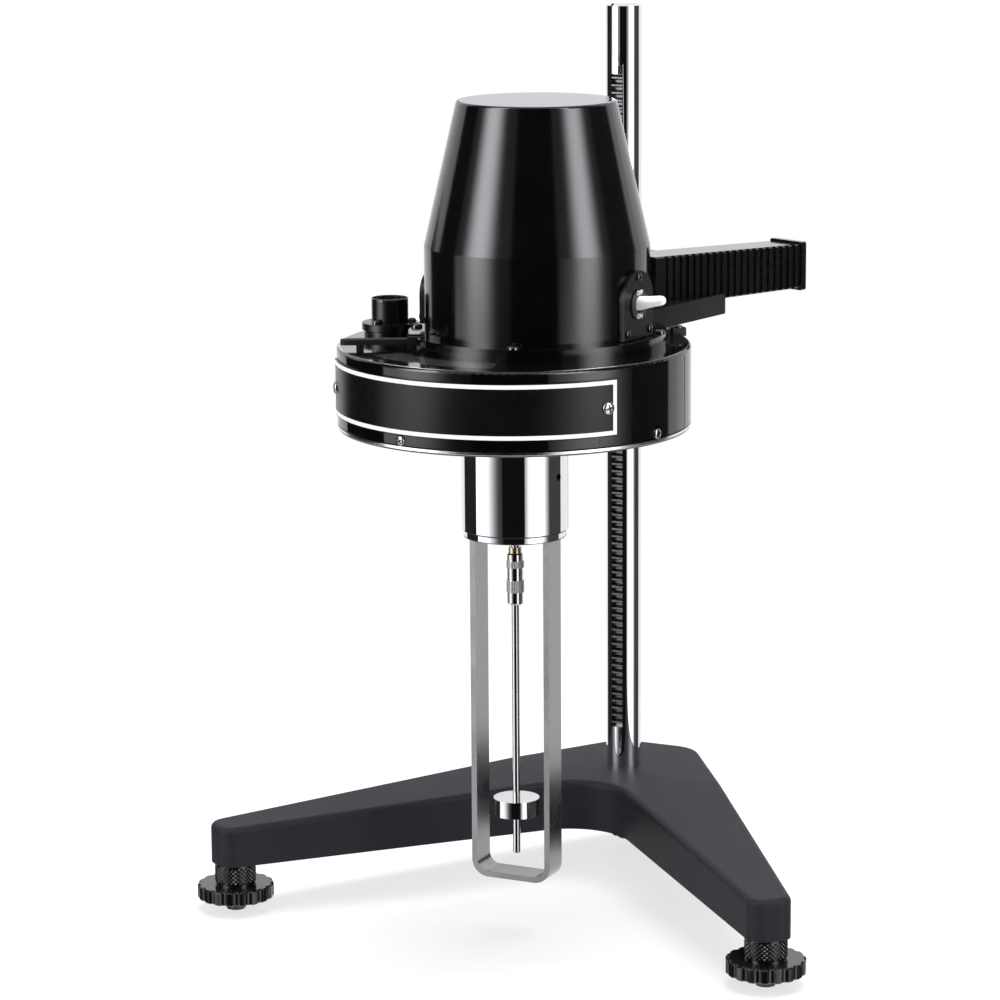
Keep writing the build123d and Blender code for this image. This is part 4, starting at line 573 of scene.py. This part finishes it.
piece("dial_ticks", joined([tick(k) for k in range(divisions)]), black_ink, "dial")
numbers = [(str(k), dial_seat(k, number_inset, -1)) for k in range(0, divisions, 10)]
lettering("dial_numbers", numbers, number_size, number_depth, black_ink, "dial")

# ---------------------------------------------------------------- switch
sign_depth = 0.08 * MM            # of a printed sign, above its plate
switch_middle = 13.25 * MM        # of the switch's bushing, above the foot of its plate
bushing_proud = 0.5 * MM
switch_sign_size = 1.9 * MM
switch_sign_offset = 4.55 * MM    # of each word from the middle
toggle_sunk = 3.1 * MM            # of the toggle's pivot, behind the bushing's face
toggle_tilt = radians(-10.0)
toggle_profile = [(0, -0.4), (2.2, -0.2), (2.75, 1.2), (2.8, 3.4), (2.45, 6.0), (2.1, 9.5),
                  (1.95, 12.4), (1.75, 13.5), (1.25, 14.3), (0.6, 14.7), (0, 14.8)]
bushing_face = moved(plate_seats["switch"], y=switch_middle, z=bushing_proud)
lettering("switch_signs", [("OFF", moved(bushing_face, y=switch_sign_offset)),
                           ("ON", moved(bushing_face, y=-switch_sign_offset))],
          switch_sign_size, sign_depth, white_ink, bold=0.03)
toggle_place = moved(bushing_face, z=-toggle_sunk) @ Matrix.Rotation(toggle_tilt, 4, "X")
toggle = lathe("toggle_cap", toggle_profile, slots["white_plastic"], "toggle",
               places=[toggle_place], unit=MM)
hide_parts("toggle_lever")

# ---------------------------------------------------------------- speed knob
speed_angle = -137.0              # from the front, about the cover's axis
speed_height = 264.0 * MM
speed_plate_thickness = 1.0 * MM
knob_length = 11.15 * MM          # from the plate to the knob's face
pointer_half = 0.4                # half the width of the knob's line, in millimetres
pointer_reach = (1.5, 8.6)
pointer_depth = (-0.1, 0.08)
speeds = ("6", "12", "30", "60")
speed_step = 45.0                 # degrees from one speed to the next
speed_circle = 11.2 * MM          # radius
speed_sign_size = 1.7 * MM
speed_seat = facing(speed_angle, pad_distance + speed_plate_thickness, speed_height, cover_centre)
pointer_line = prism([(-pointer_half, pointer_reach[0]), (pointer_half, pointer_reach[0]),
                      (pointer_half, pointer_reach[1]), (-pointer_half, pointer_reach[1])],
                     *pointer_depth)
piece("speed_line", placed(pointer_line, [moved(speed_seat, z=knob_length)], MM), white_ink,
      "speed_knob")
speed_signs = []
for k, text in enumerate(speeds):
    a = radians(speed_step * (k - (len(speeds) - 1) / 2))
    sign_seat = moved(speed_seat, speed_circle * sin(a), speed_circle * cos(a))
    speed_signs.append((text, sign_seat @ Matrix.Rotation(-a, 4, "Z")))
lettering("speed_signs", speed_signs, speed_sign_size, sign_depth, white_ink)

# ---------------------------------------------------------------- knurled foot collars
collar_radius = 8.16              # in millimetres, as the collar's other sizes
collar_low = 11.6
collar_high = 18.9
knurl_count = 30                  # ridges round the collar, each way
knurl_depth = 0.45


def knurl_form():
    """A collar with crossing diagonal ridges, about Z."""
    ring = knurl_count * 4
    rise = collar_radius * 2 * pi / ring
    rows = max(4, int(round((collar_high - collar_low) / rise)))
    verts, faces = [], []
    for row in range(rows + 1):
        z = collar_low + (collar_high - collar_low) * row / rows
        between = 0 < row < rows
        for k in range(ring):
            a = 2 * pi * k / ring
            one = abs(sin(pi * (k + row) / 4))
            two = abs(sin(pi * (k - row) / 4))
            r = collar_radius + knurl_depth * (one * two if between else 0)
            verts.append(Vector((r * cos(a), r * sin(a), z)))
    top = rows * ring
    first = len(verts)
    inner = collar_radius - 0.3 * knurl_depth
    for z in (collar_low, collar_high):
        verts += [Vector((inner * cos(2 * pi * k / ring), inner * sin(2 * pi * k / ring), z))
                  for k in range(ring)]
    for k in range(ring):
        n = (k + 1) % ring
        for row in range(0, top, ring):
            faces.append((row + k, row + n, row + ring + n, row + ring + k))
        faces.append((k, first + k, first + n, n))
        faces.append((top + k, top + n, first + ring + n, first + ring + k))
        faces.append((first + k, first + ring + k, first + ring + n, first + n))
    return verts, faces


for foot in ("left_foot", "right_foot", "rear_foot"):
    low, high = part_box(foot)
    foot_axis = on_top((low.x + high.x) / 2, (low.y + high.y) / 2, 0)
    piece(f"{foot}_knurl", placed(knurl_form(), [foot_axis], MM), slots["knob_plastic"],
          foot, smooth=radians(20))

# ---------------------------------------------------------------- clip at the cover's right side
clip_at = (52.6 * MM, 43.0 * MM)
clip_turn = radians(37)
clip_outline = [(-2.8, -2.2), (2.2, -2.2), (2.8, -1.6), (2.8, 1.6), (2.2, 2.2), (-2.8, 2.2)]
clip_height = 3.2                 # in millimetres, as its outline
clip_place = Matrix.Translation((*clip_at, drum_high.z)) @ Matrix.Rotation(clip_turn, 4, "Z")
piece("cover_clip", placed(prism(clip_outline, 0, clip_height), [clip_place], MM),
      slots["black_enamel"])
screws("cover_clip_screw", [moved(clip_place, z=clip_height * MM)], clip_head, black_screw)

# ---------------------------------------------------------------- studio
view_bearing = radians(25.58)     # of the camera, to the right of the front
card_ring = 1.25                  # radius of the cards that stand round the object
card_low = -1.4
card_high = 2.0
card_steps = 24
table_level = -0.05               # up to this height the soft boxes give the light by the table
full_level = 0.26                 # and from this one their full light


def studio_point(bearing, distance, height):
    """A point round the object, at a bearing to the right of the camera, in degrees."""
    a = view_bearing + radians(bearing)
    return Vector((distance * sin(a), -distance * cos(a), height))


def lamp(name, place, aim, size, power):
    """A soft lamp for matt surfaces; glossy ones see the cards instead."""
    light = bpy.data.lights.new(name, "AREA")
    light.shape = "SQUARE"
    light.size = size
    light.energy = power
    made = bpy.data.objects.new(name, light)
    bpy.context.scene.collection.objects.link(made)
    made.location = place
    made.rotation_euler = (aim - place).to_track_quat("-Z", "Y").to_euler()
    made.visible_glossy = False
    return made


def bell(tree, bearing, at, half, strength, plain):
    """Light that rises smoothly from a plain level to its full strength at one bearing."""
    away = node(tree, "ShaderNodeMath", operation="SUBTRACT")
    away.inputs[1].default_value = at
    far = node(tree, "ShaderNodeMath", operation="ABSOLUTE")
    rise = node(tree, "ShaderNodeMapRange", interpolation_type="SMOOTHERSTEP")
    rise.inputs["From Min"].default_value = 0.0
    rise.inputs["From Max"].default_value = half
    rise.inputs["To Min"].default_value = strength
    rise.inputs["To Max"].default_value = plain
    tree.links.new(bearing, away.inputs[0])
    tree.links.new(away.outputs[0], far.inputs[0])
    tree.links.new(far.outputs[0], rise.inputs["Value"])
    return rise.outputs["Result"]


def glow_material(name, plain, core, table):
    """Light of a card: one bell at full height, and a dimmer, wider one by the table."""
    material = bpy.data.materials.new(name)
    material.use_nodes = True
    tree = material.node_tree
    tree.nodes.clear()
    out = node(tree, "ShaderNodeOutputMaterial")
    glow = node(tree, "ShaderNodeEmission", Color=(0.965, 0.955, 1.0, 1), Strength=plain)
    if core:
        place = node(tree, "ShaderNodeUVMap")
        across = node(tree, "ShaderNodeSeparateXYZ")
        tree.links.new(place.outputs["UV"], across.inputs["Vector"])
        climb = node(tree, "ShaderNodeMapRange", interpolation_type="SMOOTHSTEP")
        climb.inputs["From Min"].default_value = table_level
        climb.inputs["From Max"].default_value = full_level
        blend = node(tree, "ShaderNodeMix", data_type="FLOAT")
        tree.links.new(across.outputs["Y"], climb.inputs["Value"])
        tree.links.new(climb.outputs["Result"], blend.inputs[0])
        tree.links.new(bell(tree, across.outputs["X"], *table), blend.inputs[2])
        tree.links.new(bell(tree, across.outputs["X"], *core), blend.inputs[3])
        tree.links.new(blend.outputs[0], glow.inputs["Strength"])
    tree.links.new(glow.outputs["Emission"], out.inputs["Surface"])
    return material


def card(name, start, stop, plain, core=None, table=None, low=card_low, high=card_high):
    """A curved card, from one bearing to another, that only reflections see."""
    verts, faces = [], []
    for k in range(card_steps + 1):
        bearing = start + (stop - start) * k / card_steps
        verts += [studio_point(bearing, card_ring, low), studio_point(bearing, card_ring, high)]
    for k in range(card_steps):
        faces.append((2 * k, 2 * k + 1, 2 * k + 3, 2 * k + 2))
    mesh = bpy.data.meshes.new(name)
    mesh.from_pydata(verts, [], faces)
    across = mesh.uv_layers.new(name="across")
    for loop in mesh.loops:
        share = (loop.vertex_index // 2) / card_steps
        across.data[loop.index].uv = (start + (stop - start) * share,
                                      high if loop.vertex_index % 2 else low)
    made = bpy.data.objects.new(name, mesh)
    bpy.context.scene.collection.objects.link(made)
    made.data.materials.append(glow_material(name, plain, core, table))
    made.visible_camera = False
    made.visible_diffuse = False
    made.visible_shadow = False
    made.visible_transmission = False
    return made


# each bell of a soft box: its bearing, half its width, its strength, and the level beside it
card("left_softbox", -91, -27, 0.30, core=(-62, 24, 10, 0.30), table=(-80, 52, 1.9, 0.05))
card("right_softbox", 21, 79, 0.30, core=(52, 22, 9, 0.30), table=(48, 38, 2.4, 0.05))
card("back_card", 118, 242, 1.15, low=0.36, high=1.3)
card("front_card", -27, 21, 0.006)
card("left_card", -137, -91, 0.02)
card("right_card", 79, 116, 0.06)

lamp_distance = 1.3
lamp_height = 0.9
side_lamp_size, side_lamp_power = 0.8, 4
top_lamp_size, top_lamp_power = 1.2, 55
middle = Vector((0, 0.03, 0.2))
for name, bearing in (("left_lamp", -60), ("right_lamp", 50)):
    lamp(name, studio_point(bearing, lamp_distance, lamp_height), middle, side_lamp_size,
         side_lamp_power)
lamp("top_lamp", Vector((0.05, 0.25, 1.7)), middle, top_lamp_size, top_lamp_power)

# ---------------------------------------------------------------- floor and backdrop
floor_radius = 3.0
floor_steps = 64
shade_radius = 0.15               # within this the floor shows the most of the object's shadow
clear_radius = 0.75               # past this it is as white as the backdrop
floor_glow = 0.72                 # share of plain white in the floor by the object
floor_polish = 0.10               # share of gloss in the rest
ambient = 0.5                     # light of the world on matt surfaces


def floor_finish():
    """White, with the object's shadow and a faint gloss near it, fading to plain white."""
    material = bpy.data.materials.new("floor")
    material.use_nodes = True
    tree = material.node_tree
    shader = tree.nodes["Principled BSDF"]
    shader.inputs["Base Color"].default_value = (0.9, 0.9, 0.9, 1)
    shader.inputs["Roughness"].default_value = 0.6
    shader.inputs["Specular IOR Level"].default_value = 0.0
    shine = node(tree, "ShaderNodeBsdfGlossy", Roughness=0.06)
    polish = node(tree, "ShaderNodeMixShader", Fac=floor_polish)
    white = node(tree, "ShaderNodeEmission", Strength=1.0)
    place = node(tree, "ShaderNodeTexCoord")
    reach = node(tree, "ShaderNodeVectorMath", operation="LENGTH")
    fade = node(tree, "ShaderNodeMapRange", interpolation_type="SMOOTHSTEP")
    fade.inputs["From Min"].default_value = shade_radius
    fade.inputs["From Max"].default_value = clear_radius
    fade.inputs["To Min"].default_value = floor_glow
    fade.inputs["To Max"].default_value = 1.0
    path = node(tree, "ShaderNodeLightPath")
    share = node(tree, "ShaderNodeMath", operation="MULTIPLY")
    mix = node(tree, "ShaderNodeMixShader")
    tree.links.new(place.outputs["Object"], reach.inputs[0])
    tree.links.new(reach.outputs["Value"], fade.inputs["Value"])
    tree.links.new(path.outputs["Is Camera Ray"], share.inputs[0])
    tree.links.new(fade.outputs["Result"], share.inputs[1])
    tree.links.new(shader.outputs["BSDF"], polish.inputs[1])
    tree.links.new(shine.outputs["BSDF"], polish.inputs[2])
    tree.links.new(share.outputs[0], mix.inputs[0])
    tree.links.new(polish.outputs["Shader"], mix.inputs[1])
    tree.links.new(white.outputs["Emission"], mix.inputs[2])
    tree.links.new(mix.outputs["Shader"], tree.nodes["Material Output"].inputs["Surface"])
    return material


def backdrop_world():
    """White to the camera, to reflections and through glass, and dimmer to matt surfaces."""
    world = bpy.data.worlds.new("studio")
    world.use_nodes = True
    tree = world.node_tree
    sky = tree.nodes["Background"]
    sky.inputs["Color"].default_value = (1, 1, 1, 1)
    path = node(tree, "ShaderNodeLightPath")
    seen = node(tree, "ShaderNodeMath", operation="MAXIMUM")
    seen_too = node(tree, "ShaderNodeMath", operation="MAXIMUM")
    level = node(tree, "ShaderNodeMapRange")
    level.inputs["To Min"].default_value = ambient
    level.inputs["To Max"].default_value = 1.0
    tree.links.new(path.outputs["Is Camera Ray"], seen.inputs[0])
    tree.links.new(path.outputs["Is Glossy Ray"], seen.inputs[1])
    tree.links.new(seen.outputs[0], seen_too.inputs[0])
    tree.links.new(path.outputs["Is Transmission Ray"], seen_too.inputs[1])
    tree.links.new(seen_too.outputs[0], level.inputs["Value"])
    tree.links.new(level.outputs["Result"], sky.inputs["Strength"])
    return world


floor_mesh = bpy.data.meshes.new("floor")
floor_mesh.from_pydata([(floor_radius * cos(2 * pi * k / floor_steps),
                         floor_radius * sin(2 * pi * k / floor_steps), 0)
                        for k in range(floor_steps)], [], [tuple(range(floor_steps))])
floor = bpy.data.objects.new("floor", floor_mesh)
bpy.context.scene.collection.objects.link(floor)
floor.data.materials.append(floor_finish())
floor.visible_glossy = False
bpy.context.scene.world = backdrop_world()

# ---------------------------------------------------------------- camera
camera_place = Vector((0.6193, -1.3074, 0.4739))
camera_pitch = radians(11.54)     # below level
camera_roll = -0.0068
focal_length = 133.04
sensor_width = 36.0

lens = bpy.data.cameras.new("camera")
lens.lens = focal_length
lens.sensor_width = sensor_width
camera = bpy.data.objects.new("camera", lens)
bpy.context.scene.collection.objects.link(camera)
turn = (Matrix.Rotation(view_bearing, 4, "Z") @ Matrix.Rotation(pi / 2 - camera_pitch, 4, "X")
        @ Matrix.Rotation(camera_roll, 4, "Z"))
camera.matrix_world = Matrix.Translation(camera_place) @ turn
bpy.context.scene.camera = camera
bpy.context.scene.view_settings.view_transform = "Standard"
